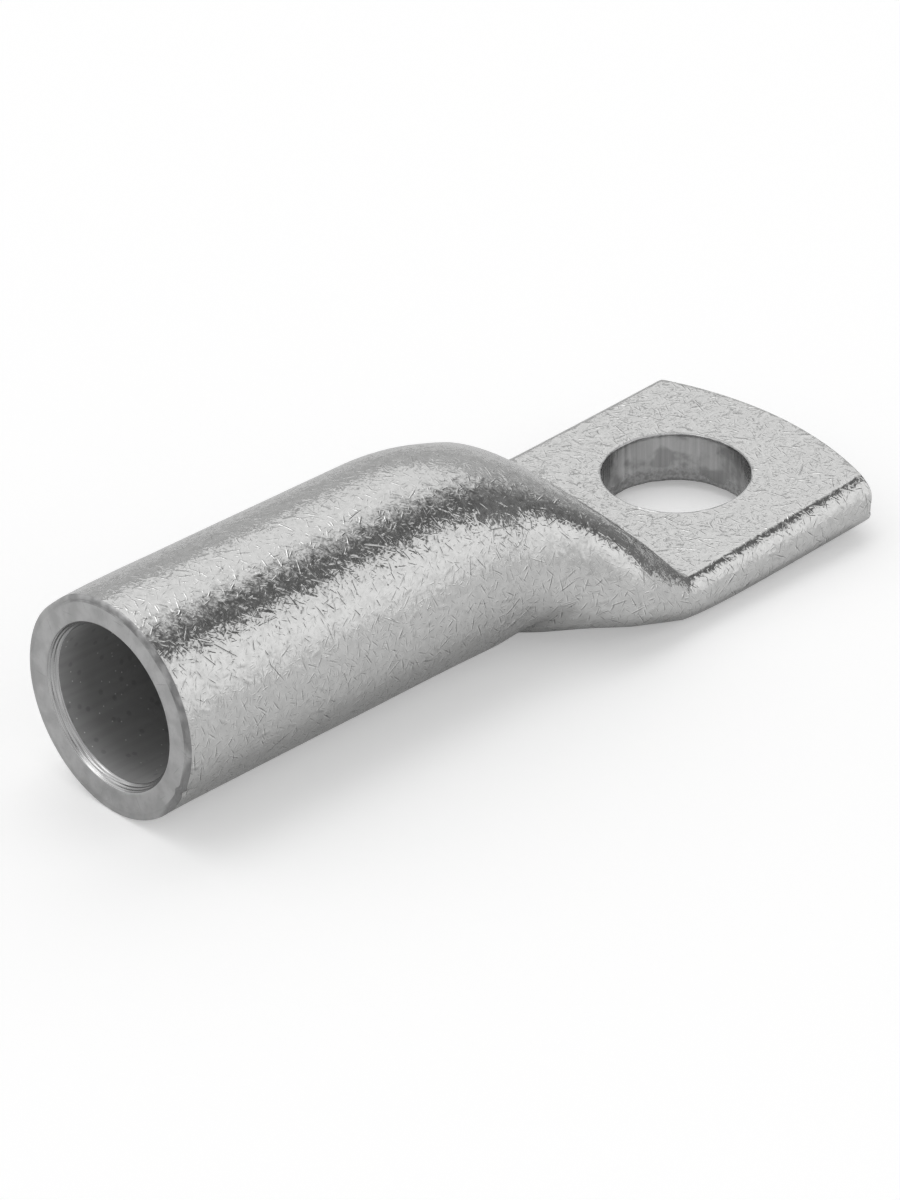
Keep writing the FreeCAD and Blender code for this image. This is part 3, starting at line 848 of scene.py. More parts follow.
    def worn(self, points: Array, normals: Array) -> Array:
        """Handling and tooling marks that show in the outline.

        Everything wavers along its normals by smooth noise of two sizes. The mouth's rim is pushed
        in and out by its marks, and where the neck starts, a valley runs down each flank.

        Args:
            points: the skin's points.
            normals: their normals.

        Returns:
            The moved points.
        """
        swell = sum(layer.at(points) for layer in self.swells)
        along, reach = points[:, 0], np.hypot(points[:, 1], points[:, 2])
        turn = np.arctan2(points[:, 2], points[:, 1])
        out = np.stack([np.zeros(len(points)), np.cos(turn), np.sin(turn)], axis=1)
        outer = passed(reach, *self.rim_run) * (along < self.rim_end)
        push = outer * sum(mark.push(np.degrees(turn), along) for mark in RIM_MARKS)
        raised = swell - self.valley.cut(points, reach)
        return points + out * push[:, None] + normals * raised[:, None]

    def build(self) -> Skin:
        """All patches of the terminal."""
        skin = Skin()
        self.tube_skin(skin)
        self.mouth(skin)
        self.palm(skin)
        return skin


def vertex_normals(points: Array, faces: Array) -> Array:
    """Unit normals of the points: the sum of the face normals round each, by area."""
    across, along = (points[faces[:, k + 2]] - points[faces[:, k]] for k in (0, 1))
    normals = np.cross(across, along)
    total = np.zeros_like(points)
    for corner in range(4):
        np.add.at(total, faces[:, corner], normals)
    return total / np.maximum(np.linalg.norm(total, axis=1, keepdims=True), 1e-12)


def mesh_object(name: str, points: Array, faces: Array, chart: Array, zones: Array) -> bpy.types.Object:
    """Put the welded skin into a Blender mesh.

    Args:
        name: the object's name.
        points: points in millimetres.
        faces: four corners for each face; equal neighbours make it a triangle.
        chart: the chart's place of each corner.
        zones: the finish of each face.

    Returns:
        The object, at the origin, unturned.
    """
    keep = faces != np.roll(faces, 1, axis=1)
    enough = keep.sum(axis=1) >= 3
    faces, chart, zones, keep = faces[enough], chart[enough], zones[enough], keep[enough]
    counts = keep.sum(axis=1)
    loops, places = faces[keep], chart[keep]
    mesh = bpy.data.meshes.new(name)
    mesh.vertices.add(len(points))
    mesh.vertices.foreach_set("co", (points * MM).astype(np.float32).ravel())
    mesh.loops.add(len(loops))
    mesh.loops.foreach_set("vertex_index", loops.astype(np.int32))
    mesh.polygons.add(len(counts))
    starts = np.concatenate([[0], np.cumsum(counts)[:-1]])
    mesh.polygons.foreach_set("loop_start", starts.astype(np.int32))
    mesh.polygons.foreach_set("material_index", zones.astype(np.int32))
    mesh.polygons.foreach_set("use_smooth", np.ones(len(counts), bool))
    layer = mesh.uv_layers.new(name="chart")
    layer.data.foreach_set("uv", places.astype(np.float32).ravel())
    mesh.update(calc_edges=True)
    mesh.validate()
    made = bpy.data.objects.new(name, mesh)
    bpy.context.scene.collection.objects.link(made)
    return made


class Nodes:
    """A material's or world's nodes, made and linked by short calls."""

    def __init__(self, tree: bpy.types.NodeTree) -> None:
        """Take over an empty tree."""
        self.tree = tree
        tree.nodes.clear()

    def add(self, kind: str, inputs: dict | None = None, **settings: object) -> bpy.types.Node:
        """Make a node.

        Args:
            kind: Blender's type name.
            inputs: values or sockets by the input's name or number.
            settings: the node's own properties.

        Returns:
            The node.
        """
        node = self.tree.nodes.new(kind)
        for name, value in settings.items():
            setattr(node, name, value)
        for name, value in (inputs or {}).items():
            socket = node.inputs[name]
            if isinstance(value, bpy.types.NodeSocket):
                self.tree.links.new(value, socket)
            else:
                socket.default_value = value
        return node

    def math(self, operation: str, *values: object, clamp: bool = False) -> Socket:
        """A Math node's result for one to three values."""
        node = self.add("ShaderNodeMath", dict(enumerate(values)), operation=operation, use_clamp=clamp)
        return node.outputs[0]

    def times(self, *values: object) -> Socket:
        """Product of two or more values."""
        total = values[0]
        for value in values[1:]:
            total = self.math("MULTIPLY", total, value)
        return total

    def line(self, value: object, factor: float, start: object) -> Socket:
        """Straight line: start plus factor times value."""
        return self.math("MULTIPLY_ADD", value, factor, start)

    def bump(self, value: Socket) -> Socket:
        """1 minus the square of the value, held at 0."""
        return self.math("SUBTRACT", 1.0, self.times(value, value), clamp=True)

    def vector(self, operation: str, *values: object) -> Socket:
        """A Vector Math node's vector for its inputs."""
        return self.add("ShaderNodeVectorMath", dict(enumerate(values)), operation=operation).outputs[0]

    def scaled(self, vector: object, factor: object) -> Socket:
        """A vector times a number."""
        inputs = {0: vector, "Scale": factor}
        return self.add("ShaderNodeVectorMath", inputs, operation="SCALE").outputs[0]

    def towards(self, vector: Socket, axis: Floats) -> Socket:
        """How far a vector reaches along an axis: their dot product."""
        inputs = {0: vector, 1: axis}
        return self.add("ShaderNodeVectorMath", inputs, operation="DOT_PRODUCT").outputs["Value"]

    def turned(self, vector: Socket, angle: Socket, back: bool = False) -> Socket:
        """A vector turned about z by an angle, or back by it."""
        inputs = {"Vector": vector, "Angle": angle}
        return self.add("ShaderNodeVectorRotate", inputs, rotation_type="Z_AXIS", invert=back).outputs[0]

    def parts(self, vector: Socket) -> tuple[Socket, Socket, Socket]:
        """A vector's x, y and z."""
        return tuple(self.add("ShaderNodeSeparateXYZ", {0: vector}).outputs)

    def ramp(self, value: object, low: float, high: float, start: object = 0.0, end: object = 1.0,
             shape: str = "SMOOTHSTEP") -> Socket:
        """Map Range from start to end while the value goes from low to high, held at both ends."""
        inputs = {0: value, 1: low, 2: high, 3: start, 4: end}
        return self.add("ShaderNodeMapRange", inputs, interpolation_type=shape).outputs[0]

    def band(self, value: Socket, low: Floats, high: Floats) -> Socket:
        """1 between two eased edges, and 0 below and above them."""
        return self.times(self.ramp(value, *low), self.ramp(value, *high, 1.0, 0.0))

    def cells(self, place: Socket, scale: float) -> bpy.types.NodeOutputs:
        """Outputs of a flat Voronoi pattern."""
        inputs = {"Vector": place, "Scale": scale}
        return self.add("ShaderNodeTexVoronoi", inputs, voronoi_dimensions="2D").outputs

    def dice(self, colour: Socket) -> tuple[Socket, Socket, Socket]:
        """The three random numbers in a cell's colour."""
        return tuple(self.add("ShaderNodeSeparateColor", {0: colour}).outputs)


@dataclass(frozen=True)
class Grain:
    """Noise on a finish: how fine it is, and how it tilts the surface along and across the chart."""

    scale: float
    detail: float
    along: float = 0.0
    across: float = 0.0

    def on(self, nodes: Nodes, place: Socket) -> tuple[Socket, Socket]:
        """The noise at each place.

        Args:
            nodes: the tree.
            place: Object coordinates in metres, or a chart in millimetres.

        Returns:
            The noise as a number and as a colour.
        """
        inputs = {"Vector": place, "Scale": self.scale, "Detail": self.detail}
        made = nodes.add("ShaderNodeTexNoise", inputs)
        return made.outputs["Fac"], made.outputs["Color"]

    def tilt(self, nodes: Nodes, colour: Socket, slope: object = (0.0, 0.0, 0.0)) -> Socket:
        """A slope with the noise's colour added to it, centred on 0."""
        centred = nodes.vector("SUBTRACT", colour, (0.5, 0.5, 0.5))
        return nodes.vector("MULTIPLY_ADD", centred, (self.along, self.across, 0.0), slope)


@dataclass(frozen=True)
class Marks:
    """One layer of short straight dents, at most one in each cell of a Voronoi pattern.

    A dent is a groove through its cell's centre, turned at random. Its walls lean by the slope
    times s times (1 - s squared), where s is the share of its half width, so they lean most a
    little past half way out, and it fades towards its ends. Lengths are in millimetres. With a
    small spread the dents run mostly across the chart, which is round the tube. Shade and light
    are painted into the colour: one wall is painted darker, the other painted lighter, as if lit
    at a slant, and the whole dent a little darker.
    """

    cell: float
    length: float
    width: float
    slope: float
    share: float
    # Strength of the shade and highlight painted on the dent.
    painted_shade: float
    seed: float
    spread: float = 1.0
    steepest: float = 2.6
    # Painted shade that changes across the dent, from dark wall to light wall, and painted shade over the
    # whole dent.
    one_sided: float = 2.2
    both_sided: float = 0.35
    least_size: float = 0.4
    seed_slant: float = 1.7

    def lean(self, nodes: Nodes, chart: Socket) -> tuple[Socket, Socket]:
        """Slope of the surface along and across the chart, and the walls' painted shade.

        Args:
            nodes: the tree.
            chart: the surface's chart in millimetres.

        Returns:
            The slope as a vector, and how much darker the wall is painted; below 0 it is painted lighter.
        """
        inverse = 1.0 / self.cell
        start = (self.seed, self.seed * self.seed_slant, 0.0)
        placed = nodes.vector("MULTIPLY_ADD", chart, (inverse, inverse, 0.0), start)
        cells = nodes.cells(placed, 1.0)
        turn_dice, there_dice, size_dice = nodes.dice(cells["Color"])
        range_of_turn = math.tau * self.spread
        angle = nodes.line(turn_dice, range_of_turn, 0.5 * (math.pi - range_of_turn))
        local = nodes.vector("SUBTRACT", placed, cells["Position"])
        along, across, _ = nodes.parts(nodes.turned(local, angle))
        size = nodes.line(size_dice, 1.0 - self.least_size, self.least_size)
        along = nodes.math("DIVIDE", nodes.times(along, self.cell / self.length), size)
        across = nodes.times(across, self.cell / self.width)
        there = nodes.math("LESS_THAN", there_dice, self.share)
        fade = nodes.times(nodes.bump(along), there, size)
        room = nodes.bump(across)
        wall = nodes.times(across, room, self.slope * self.steepest, fade)
        slope = nodes.add("ShaderNodeCombineXYZ", {1: wall}).outputs[0]
        # Painted shade and highlight: the walls darker on one side and lighter on the other, as if lit at a
        # slant, and a little darker overall.
        wall_shade = nodes.line(across, self.one_sided * self.painted_shade, self.both_sided * self.painted_shade)
        return nodes.turned(slope, angle, back=True), nodes.times(room, fade, wall_shade)


def dented(nodes: Nodes, layers: tuple[Marks, ...], chart: Socket, join: str) -> tuple[Socket, Socket]:
    """All layers of dents: their slopes added, and their painted shades joined by a Math operation."""
    slope, painted_relief = (0.0, 0.0, 0.0), 0.0
    for layer in layers:
        lean, wall_shade = layer.lean(nodes, chart)
        slope = nodes.vector("ADD", lean, slope)
        painted_relief = nodes.math(join, wall_shade, painted_relief)
    return slope, painted_relief


# Layers of dents on the tin; each also paints shade and highlight on its walls into the colour.
TUMBLE_MARKS = (
    Marks(cell=0.46, length=0.28, width=0.070, slope=0.21, share=0.90, painted_shade=0.28, seed=3.1),
    Marks(cell=0.75, length=0.45, width=0.080, slope=0.30, share=0.85, painted_shade=0.36, seed=11.7, spread=0.50),
    Marks(cell=1.10, length=0.62, width=0.095, slope=0.36, share=0.80, painted_shade=0.46, seed=23.9, spread=0.36),
    Marks(cell=1.50, length=0.80, width=0.280, slope=0.15, share=0.90, painted_shade=0.10, seed=37.3),
    Marks(cell=1.90, length=0.95, width=0.100, slope=0.36, share=0.50, painted_shade=0.52, seed=51.1, spread=0.40),
    Marks(cell=2.80, length=1.25, width=0.080, slope=0.50, share=0.35, painted_shade=0.55, seed=67.9),
    Marks(cell=5.50, length=1.40, width=0.090, slope=0.75, share=0.30, painted_shade=0.65, seed=83.3),
)

# Dents on the cut faces, which paint shade and highlight on their walls as well.
CUT_MARKS = (
    Marks(cell=0.60, length=0.35, width=0.060, slope=0.25, share=0.60, painted_shade=0.20, seed=5.3),
    Marks(cell=1.70, length=0.90, width=0.060, slope=0.40, share=0.45, painted_shade=0.60, seed=19.1),
)


@dataclass(frozen=True)
class Metal:
    """What all finishes of the tinned copper share.

    Shades that follow a noise are given as the noise's low and high and the factors there. A run
    is where something starts and ends.
    """

    name: str
    colour: float
    roughness: float
    metallic: float = 1.0
    blue: float = 1.0
    reflection: float = 1.0

    def pattern(self, nodes: Nodes, chart: Socket, place: Socket) -> Look:
        """Pattern of the finish; each kind of surface has its own.

        Args:
            nodes: the tree.
            chart: the surface's chart in millimetres.
            place: Object coordinates in metres.

        Returns:
            The slope along and across the chart, the factor on the colour, and the roughness.
        """
        raise NotImplementedError

    def material(self) -> bpy.types.Material:
        """Build the material; the normal is the surface's own, tilted by the pattern's slope."""
        material = bpy.data.materials.new(self.name)
        material.use_nodes = True
        nodes = Nodes(material.node_tree)
        chart = nodes.add("ShaderNodeUVMap", uv_map="chart").outputs[0]
        place = nodes.add("ShaderNodeTexCoord").outputs["Object"]
        slope, shade, roughness = self.pattern(nodes, chart, place)
        shifted = nodes.vector("MULTIPLY_ADD", slope, (0.5, 0.5, 0.0), (0.5, 0.5, 1.0))
        normal = nodes.add("ShaderNodeNormalMap", {"Color": shifted}, space="TANGENT", uv_map="chart")
        shader = nodes.add("ShaderNodeBsdfPrincipled", {
            "Base Color": nodes.scaled((self.colour, self.colour, self.colour * self.blue), shade),
            "Metallic": self.metallic,
            "Roughness": roughness,
            "Specular Tint": (self.reflection,) * 3 + (1.0,),
            "Normal": normal.outputs[0],
        })
        nodes.add("ShaderNodeOutputMaterial", {"Surface": shader.outputs[0]})
        return material


@dataclass(frozen=True)
class TumbledTin(Metal):
    """Satin tin with the small random marks that the pieces give each other.

    The shade and highlight painted on the marks are stronger on the flanks and facing down, fainter where
    they face up.
    """

    name: str = "tumbled_tin"
    colour: float = 0.64
    roughness: float = 0.15
    blue: float = 0.99
    reflection: float = 0.9
    warp: Grain = Grain(1100.0, 1.0)
    warp_by: float = 0.10
    grain: Grain = Grain(4600.0, 3.0, 0.36, 0.36)
    swell: Grain = Grain(1500.0, 2.0, 0.26, 0.26)
    shades: Floats = (0.35, 0.65, 0.95, 1.05)
    painted_shade_by_facing: Floats = (0.0, 0.85, 2.0, 0.75)
    mark_darkness: float = 0.6
    rough_run: Floats = (0.3, 0.7)
    smoother: float = 0.03
    rougher: float = 0.05

    def pattern(self, nodes: Nodes, chart: Socket, place: Socket) -> Look:
        """Dents of seven sizes on a slightly warped chart, with their shade and highlight painted into the
        colour, and a fine and a coarse grain.
        """
        _, drift = self.warp.on(nodes, place)
        warped = nodes.vector("MULTIPLY_ADD", drift, (self.warp_by, self.warp_by, 0.0), chart)
        slope, painted_relief = dented(nodes, TUMBLE_MARKS, warped, "ADD")
        _, fine = self.grain.on(nodes, place)
        level, coarse = self.swell.on(nodes, place)
        slope = self.swell.tilt(nodes, coarse, self.grain.tilt(nodes, fine, slope))
        _, _, up = nodes.parts(nodes.add("ShaderNodeNewGeometry").outputs["True Normal"])
        # Painted shade of the marks: doubled on the flanks and underside, less where they face up.
        painted_relief = nodes.times(painted_relief, nodes.ramp(up, *self.painted_shade_by_facing))
        # The marks' painted shade and highlight, times the coarse grain's random tone.
        shade = nodes.times(nodes.line(painted_relief, -self.mark_darkness, 1.0), nodes.ramp(level, *self.shades))
        ends = (self.roughness - self.smoother, self.roughness + self.rougher)
        return slope, shade, nodes.ramp(level, *self.rough_run, *ends, "LINEAR")


@dataclass(frozen=True)
class CutFace(Metal):
    """Sawn and sheared faces: duller, stained, with a few dents."""

    name: str = "cut_face"
    colour: float = 0.50
    roughness: float = 0.36
    metallic: float = 0.9
    grain: Grain = Grain(4200.0, 3.0, 0.5, 0.5)
    stain: Grain = Grain(620.0, 4.0)
    shades: Floats = (0.34, 0.66, 0.86, 1.06)
    mark_darkness: float = 0.5

    def painted_shade_by_place(self, nodes: Nodes, place: Socket) -> object:
        """Painted shade on the colour by place; the plain face has none."""
        return 1.0

    def pattern(self, nodes: Nodes, chart: Socket, place: Socket) -> Look:
        """Dents of two sizes with painted shade and highlight, a grain and cloudy stains."""
        slope, painted_relief = dented(nodes, CUT_MARKS, chart, "MAXIMUM")
        _, fine = self.grain.on(nodes, place)
        cloud, _ = self.stain.on(nodes, place)
        # Painted shade and highlight of the dents.
        marks = nodes.line(painted_relief, -self.mark_darkness, 1.0)
        shade = nodes.times(nodes.ramp(cloud, *self.shades), marks, self.painted_shade_by_place(nodes, place))
        return self.grain.tilt(nodes, fine, slope), shade, self.roughness


@dataclass(frozen=True)
class RimWithPaintedShade(CutFace):
    """Burred line round the mouth, with painted shade: on one side a broken line painted darker than the
    face it frames.
    """

    name: str = "rim_with_painted_shade"
    colour: float = 0.48
    roughness: float = 0.42
    breaks: Grain = Grain(420.0, 3.0)
    break_run: Floats = (0.44, 0.60)
    side_run: Floats = (0.0, 0.008)
    nick_run: Floats = (0.0084, 0.0090)
    darkness: float = 0.42

    def painted_shade_by_place(self, nodes: Nodes, place: Socket) -> object:
        """Factor on the colour: painted shade in broken stretches on one side, and darker in the nick."""
        axes = [(0.0, math.cos(math.radians(a)), math.sin(math.radians(a))) for a in (PAINTED_RIM_SHADE_SIDE, NICK_AT)]
        side, nick = (nodes.towards(place, axis) for axis in axes)
        broken, _ = self.breaks.on(nodes, place)
        # Painted shade: broken dark stretches on one side of the rim; the nick is darker as well.
        dark = nodes.times(nodes.ramp(side, *self.side_run), nodes.ramp(broken, *self.break_run))
        dark = nodes.math("MAXIMUM", dark, nodes.ramp(nick, *self.nick_run))
        return nodes.line(dark, -self.darkness, 1.0)


@dataclass(frozen=True)
class TurnedLeadIn(Metal):
    """Lead-in of the mouth: bright, with fine uneven turning lines."""

    name: str = "turned_lead_in"
    colour: float = 0.56
    roughness: float = 0.26
    stretch: Floats = (3.5, 0.3, 0.0)
    lines: Grain = Grain(1.0, 3.0, 0.8, 0.5)
    shades: Floats = (0.35, 0.65, 0.72, 1.10)

    def pattern(self, nodes: Nodes, chart: Socket, place: Socket) -> Look:
        """Noise drawn out round the mouth."""
        level, colour = self.lines.on(nodes, nodes.vector("MULTIPLY", chart, self.stretch))
        return self.lines.tilt(nodes, colour), nodes.ramp(level, *self.shades), self.roughness


@dataclass(frozen=True)
class DrawnBore(Metal):
    """Inside of the drawn tube: dull and darker, with lengthwise draw lines, dimples and dust."""

    name: str = "drawn_bore"
    colour: float = 0.31
    roughness: float = 0.5
    metallic: float = 0.15
    stretch: Floats = (0.05, 1.6, 0.0)
    lines: Grain = Grain(1.0, 4.0, 0.1, 0.2)
    shades: Floats = (0.3, 0.7, 0.92, 1.06)
    dimple_scale: float = 0.55
    dimple_run: Floats = (0.07, 0.16, 1.0, 0.0)
    dimple_darkness: float = 0.2
    dust_scale: float = 1.4
    dust_run: Floats = (0.05, 0.10, 1.0, 0.0)
    dust_paleness: float = 1.3
    dust_roughness: float = 0.4
    drift: Grain = Grain(0.22, 1.0)
    rarity: float = 1.18
    clustering: float = 0.8

    def pattern(self, nodes: Nodes, chart: Socket, place: Socket) -> Look:
        """Noise drawn out along the tube, with round dark dimples and pale dust in clusters."""
        level, colour = self.lines.on(nodes, nodes.vector("MULTIPLY", chart, self.stretch))
        dimples, dust = nodes.cells(chart, self.dimple_scale), nodes.cells(chart, self.dust_scale)
        pit = nodes.ramp(dimples["Distance"], *self.dimple_run)
        speck = nodes.ramp(dust["Distance"], *self.dust_run)
        cluster, _ = self.drift.on(nodes, chart)
        rare = nodes.line(cluster, -self.clustering, self.rarity)
        speck = nodes.times(speck, nodes.math("GREATER_THAN", nodes.dice(dust["Color"])[0], rare))
        dimpled = nodes.line(pit, -self.dimple_darkness, 1.0)
        shade = nodes.line(speck, self.dust_paleness, nodes.times(nodes.ramp(level, *self.shades), dimpled))
        return self.lines.tilt(nodes, colour), shade, nodes.line(speck, self.dust_roughness, self.roughness)


@dataclass(frozen=True)
class PunchedWall(Metal):
    """Wall of the stud hole: streaked where the punch burnished it, paler and matt where it tore."""

    name: str = "punched_wall"
    colour: float = 0.42
    torn_colour: float = 0.52
    roughness: float = 0.26
    torn_roughness: float = 0.3
    stretch: Floats = (2.6, 0.10, 0.0)
    streaks: Grain = Grain(1.0, 5.0, 0.4, 0.1)
    patches: Grain = Grain(480.0, 4.0)
    crumbs: Grain = Grain(3600.0, 3.0, 1.0, 1.0)
    shades: Floats = (0.3, 0.7, 0.86, 1.10)
    patch_shades: Floats = (0.42, 0.58, 1.38, 0.92)
    torn_shades: Floats = (0.35, 0.65, 0.82, 1.15)
    line_at: float = 1.2
    line_waver: float = 5.0
    line_run: Floats = (-0.15, 0.35)
    crumb_tilt: float = 0.15
    torn_tilt: float = 0.6

    def pattern(self, nodes: Nodes, chart: Socket, place: Socket) -> Look:
        """Streaks down the wall as far as an uneven line, and crumbs below it."""
        _, depth, _ = nodes.parts(chart)
        streak, fine = self.streaks.on(nodes, nodes.vector("MULTIPLY", chart, self.stretch))
        patch, _ = self.patches.on(nodes, place)
        grain, crumb = self.crumbs.on(nodes, place)
        line = nodes.line(patch, self.line_waver, self.line_at)
        torn = nodes.ramp(nodes.math("SUBTRACT", depth, line), *self.line_run)
        burnished = nodes.times(nodes.ramp(streak, *self.shades), nodes.ramp(patch, *self.patch_shades))
        paler = nodes.times(nodes.ramp(grain, *self.torn_shades), self.torn_colour / self.colour)
        shade = nodes.ramp(torn, 0.0, 1.0, burnished, paler, "LINEAR")
        tilt = nodes.line(torn, self.torn_tilt, self.crumb_tilt)
        bits = nodes.scaled(self.crumbs.tilt(nodes, crumb), tilt)
        slope = nodes.vector("ADD", bits, self.streaks.tilt(nodes, fine))
        return slope, shade, nodes.line(torn, self.torn_roughness, self.roughness)


@dataclass(frozen=True)
class Spot:
    """Round patch of the world about a direction: whole near it, gone past a wider angle.

    All values are in degrees.
    """

    azimuth: float
    elevation: float
    whole: float
    none: float

    def on(self, nodes: Nodes, way: Socket) -> Socket:
        """Share of the patch in each direction."""
        around, up = math.radians(self.azimuth), math.radians(self.elevation)
        axis = (math.sin(around) * math.cos(up), -math.cos(around) * math.cos(up), math.sin(up))
        none, whole = math.cos(math.radians(self.none)), math.cos(math.radians(self.whole))
        return nodes.ramp(nodes.towards(way, axis), none, whole)


@dataclass(frozen=True)
class SoftLight:
    """World of soft light: bright all round, with a dark gap to the east and a dimmer rear.

    The gap is a wedge between two lights. It stands upright, is narrow above and wide below, and
    has one hard and one soft edge. Axes are vectors of about unit length, a height is the z of a
    direction, and a change is what a patch adds to the level.
    """

    gap_axis: Floats = (-0.0345, 0.925, 0.3784)
    gap_top: float = 0.707
    gap_hard: Floats = (0.51, 0.15)
    gap_hard_run: Floats = (-0.05, 0.05)
    gap_mild: Floats = (0.12, 0.24)
    gap_mild_run: Floats = (-0.16, 0.18, 1.0, 0.0)
    gap_east: Floats = (0.1, 0.3)
    gap_ceiling: Floats = (0.86, 0.96, 1.0, 0.0)
    gap_levels: Floats = (0.70, 0.92, 0.13, 0.22)
    side_axis: Floats = (0.75, 0.66, 0.0)
    side_levels: Floats = (-0.75, 0.1, 0.70, 1.0)
    ceiling_axis: Floats = (0.3, -0.95, 0.0)
    ceiling_run: Floats = (-0.1, 0.2)
    ceiling_heights: Floats = (0.72, 0.86)
    behind_axis: Floats = (-0.3, 0.95, 0.0)
    behind_run: Floats = (-0.15, 0.15)
    behind_heights: Floats = (0.86, 0.93)
    horizon: Floats = (-0.02, 0.35, 0.89, 1.0)
    rear_heights: Floats = (0.36, 0.42, 1.0, 0.0)
    line_bottom: Floats = (0.38, 0.41)
    line_top: Floats = (0.43, 0.46)
    rear: Spot = Spot(150.0, 0.0, 45.0, 60.0)
    line: Spot = Spot(145.0, 25.0, 24.0, 36.0)
    front: Spot = Spot(15.0, -5.0, 30.0, 58.0)
    hot: Spot = Spot(37.0, 20.0, 8.0, 24.0)
    rear_level: float = 0.56
    line_level: float = 0.25
    front_change: float = -0.04
    ceiling_change: float = -0.45
    hot_change: float = 0.12
    behind_change: float = 1.1

    def gap(self, nodes: Nodes, way: Socket, east: Socket, height: Socket) -> Socket:
        """Share of the dark gap in each direction."""
        across = nodes.towards(way, self.gap_axis)
        below = nodes.math("SUBTRACT", self.gap_top, height)
        hard = nodes.math("ADD", across, nodes.line(below, *self.gap_hard))
        wide = nodes.math("MAXIMUM", below, 0.0)
        mild = nodes.math("SUBTRACT", across, nodes.line(wide, *self.gap_mild))
        edges = nodes.times(nodes.ramp(hard, *self.gap_hard_run), nodes.ramp(mild, *self.gap_mild_run))
        return nodes.times(edges, nodes.ramp(east, *self.gap_east), nodes.ramp(height, *self.gap_ceiling))

    def bright(self, nodes: Nodes, way: Socket, height: Socket) -> Socket:
        """Level of the light before the gap and the rear are taken out."""
        level = nodes.ramp(nodes.towards(way, self.side_axis), *self.side_levels)
        ceiling = nodes.ramp(nodes.towards(way, self.ceiling_axis), *self.ceiling_run)
        ceiling = nodes.times(nodes.ramp(height, *self.ceiling_heights), ceiling)
        behind = nodes.ramp(nodes.towards(way, self.behind_axis), *self.behind_run)
        behind = nodes.times(nodes.ramp(height, *self.behind_heights), behind)
        changes = (
            (self.front.on(nodes, way), self.front_change),
            (self.hot.on(nodes, way), self.hot_change),
            (ceiling, self.ceiling_change),
            (behind, self.behind_change),
        )
        for share, change in changes:
            level = nodes.line(share, change, level)
        return nodes.times(level, nodes.ramp(height, *self.horizon))

    def build(self) -> None:
        """Make the world and put it into the scene."""
        world = bpy.data.worlds.new("studio")
        bpy.context.scene.world = world
        world.use_nodes = True
        nodes = Nodes(world.node_tree)
        way = nodes.add("ShaderNodeTexCoord").outputs["Generated"]
        east, _, height = nodes.parts(way)
        level = self.bright(nodes, way, height)
        rear = nodes.times(nodes.ramp(height, *self.rear_heights), self.rear.on(nodes, way))
        line = nodes.times(nodes.band(height, self.line_bottom, self.line_top), self.line.on(nodes, way))
        gap_level = nodes.ramp(east, *self.gap_levels)
        gap = self.gap(nodes, way, east, height)
        for share, dark in ((rear, self.rear_level), (line, self.line_level), (gap, gap_level)):
            level = nodes.ramp(share, 0.0, 1.0, level, dark, "LINEAR")
        light = nodes.add("ShaderNodeBackground", {"Color": (1.0, 1.0, 1.0, 1.0), "Strength": level})
        nodes.add("ShaderNodeOutputWorld", {"Surface": light.outputs[0]})


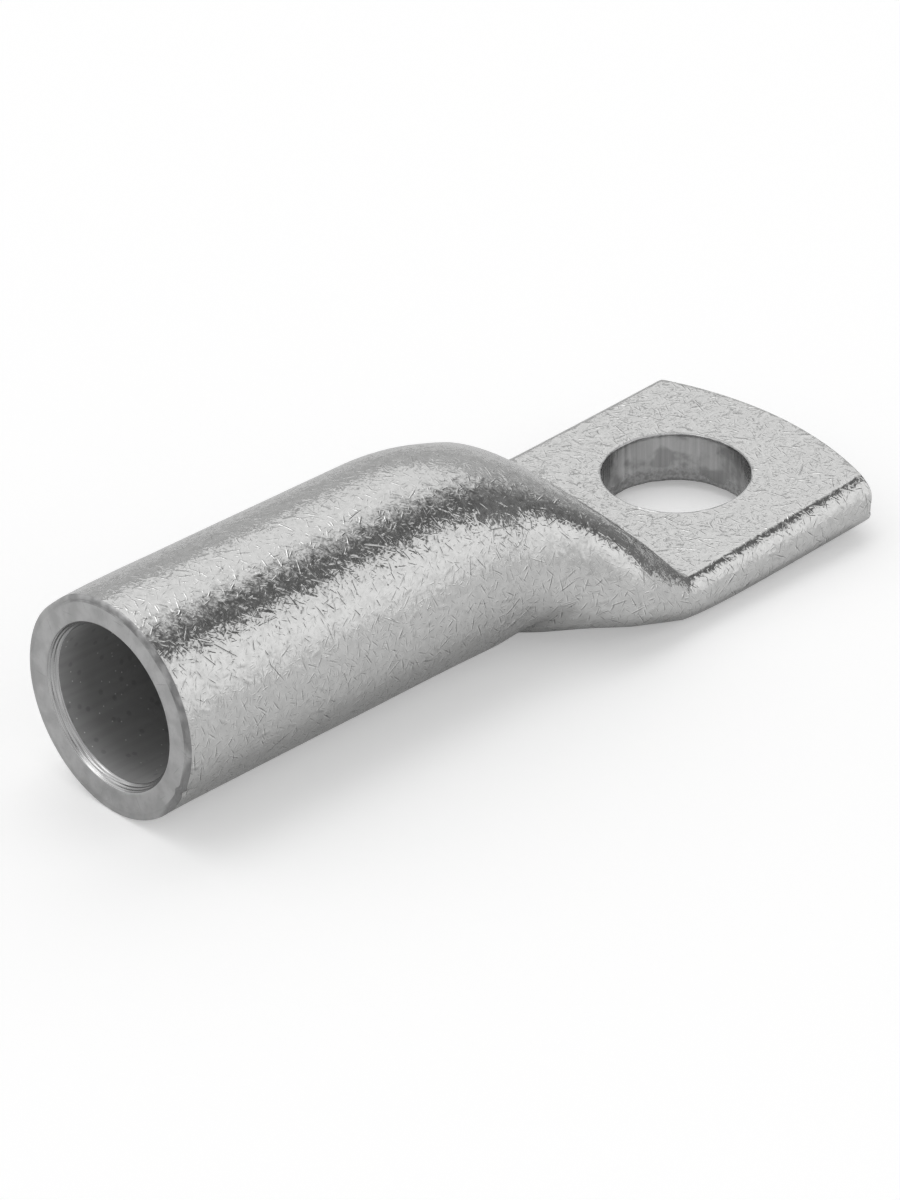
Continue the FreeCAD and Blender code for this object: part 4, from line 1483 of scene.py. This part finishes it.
@dataclass(frozen=True)
class Studio:
    """Floor and camera; the floor glows a little by the kind of ray that sees it."""

    floor_half: float = 1.5
    floor_colour: float = 0.82
    floor_glow: tuple[tuple[str, float], ...] = (
        ("Is Camera Ray", 0.30), ("Is Transmission Ray", 0.30), ("Is Glossy Ray", 0.02))
    camera_at: Floats = (-0.21601, -0.25133, 0.20929)
    azimuth: float = math.radians(45.3)
    elevation: float = math.radians(31.05)
    roll: float = math.radians(1.03)
    lens: float = 149.54
    sensor: float = 36.0
    clip: Floats = (0.02, 20.0)

    def camera(self) -> None:
        """Camera at the photograph's viewpoint, turned by azimuth, elevation and a slight roll."""
        data = bpy.data.cameras.new("camera")
        data.lens, data.sensor_width = self.lens, self.sensor
        data.clip_start, data.clip_end = self.clip
        made = bpy.data.objects.new("camera", data)
        bpy.context.scene.collection.objects.link(made)
        flat = math.cos(self.elevation)
        back = np.array([-math.sin(self.azimuth) * flat, -math.cos(self.azimuth) * flat,
                         math.sin(self.elevation)])
        right = np.array([math.cos(self.azimuth), -math.sin(self.azimuth), 0.0])
        up = np.cross(back, right)
        level, lean = math.cos(self.roll), math.sin(self.roll)
        axes = (level * right + lean * up, level * up - lean * right, back, self.camera_at)
        rows = np.vstack([np.column_stack(axes), (0.0, 0.0, 0.0, 1.0)])
        made.matrix_world = Matrix(rows.tolist())
        bpy.context.scene.camera = made

    def floor(self, height: float) -> None:
        """Pale floor that the terminal lies on."""
        half = self.floor_half
        mesh = bpy.data.meshes.new("floor")
        around = ((-half, -half), (half, -half), (half, half), (-half, half))
        mesh.from_pydata([(x, y, height) for x, y in around], [], [(0, 1, 2, 3)])
        made = bpy.data.objects.new("floor", mesh)
        bpy.context.scene.collection.objects.link(made)
        material = bpy.data.materials.new("pale_floor")
        material.use_nodes = True
        nodes = Nodes(material.node_tree)
        rays = nodes.add("ShaderNodeLightPath").outputs
        seen = 0.0
        for ray, strength in self.floor_glow:
            seen = nodes.line(rays[ray], strength, seen)
        matte = nodes.add("ShaderNodeBsdfDiffuse", {"Color": (self.floor_colour,) * 3 + (1.0,)})
        glow = nodes.add("ShaderNodeEmission", {"Color": (1.0, 1.0, 1.0, 1.0), "Strength": seen})
        both = nodes.add("ShaderNodeAddShader", {0: matte.outputs[0], 1: glow.outputs[0]})
        nodes.add("ShaderNodeOutputMaterial", {"Surface": both.outputs[0]})
        mesh.materials.append(material)


def main() -> None:
    """Build the terminal and its studio, and log the terminal's points and faces."""
    logging.basicConfig(level=logging.INFO, format="%(name)s: %(message)s")
    bpy.context.scene.view_settings.view_transform = "Standard"
    studio = Studio()
    studio.camera()
    terminal = Terminal()
    points, faces, chart, zones = terminal.build().welded()
    points = terminal.worn(points, vertex_normals(points, faces))
    made = mesh_object("terminal_skin", points, faces, chart, zones)
    for finish in (TumbledTin(), CutFace(), TurnedLeadIn(), DrawnBore(), PunchedWall(), RimWithPaintedShade()):
        made.data.materials.append(finish.material())
    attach(made, "root")
    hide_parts("terminal_body")
    LOG.info("terminal_skin: %d points, %d faces", len(made.data.vertices), len(made.data.polygons))
    studio.floor(float(points[:, 2].min()) * MM)
    SoftLight().build()


if __name__ == "__main__":
    main()
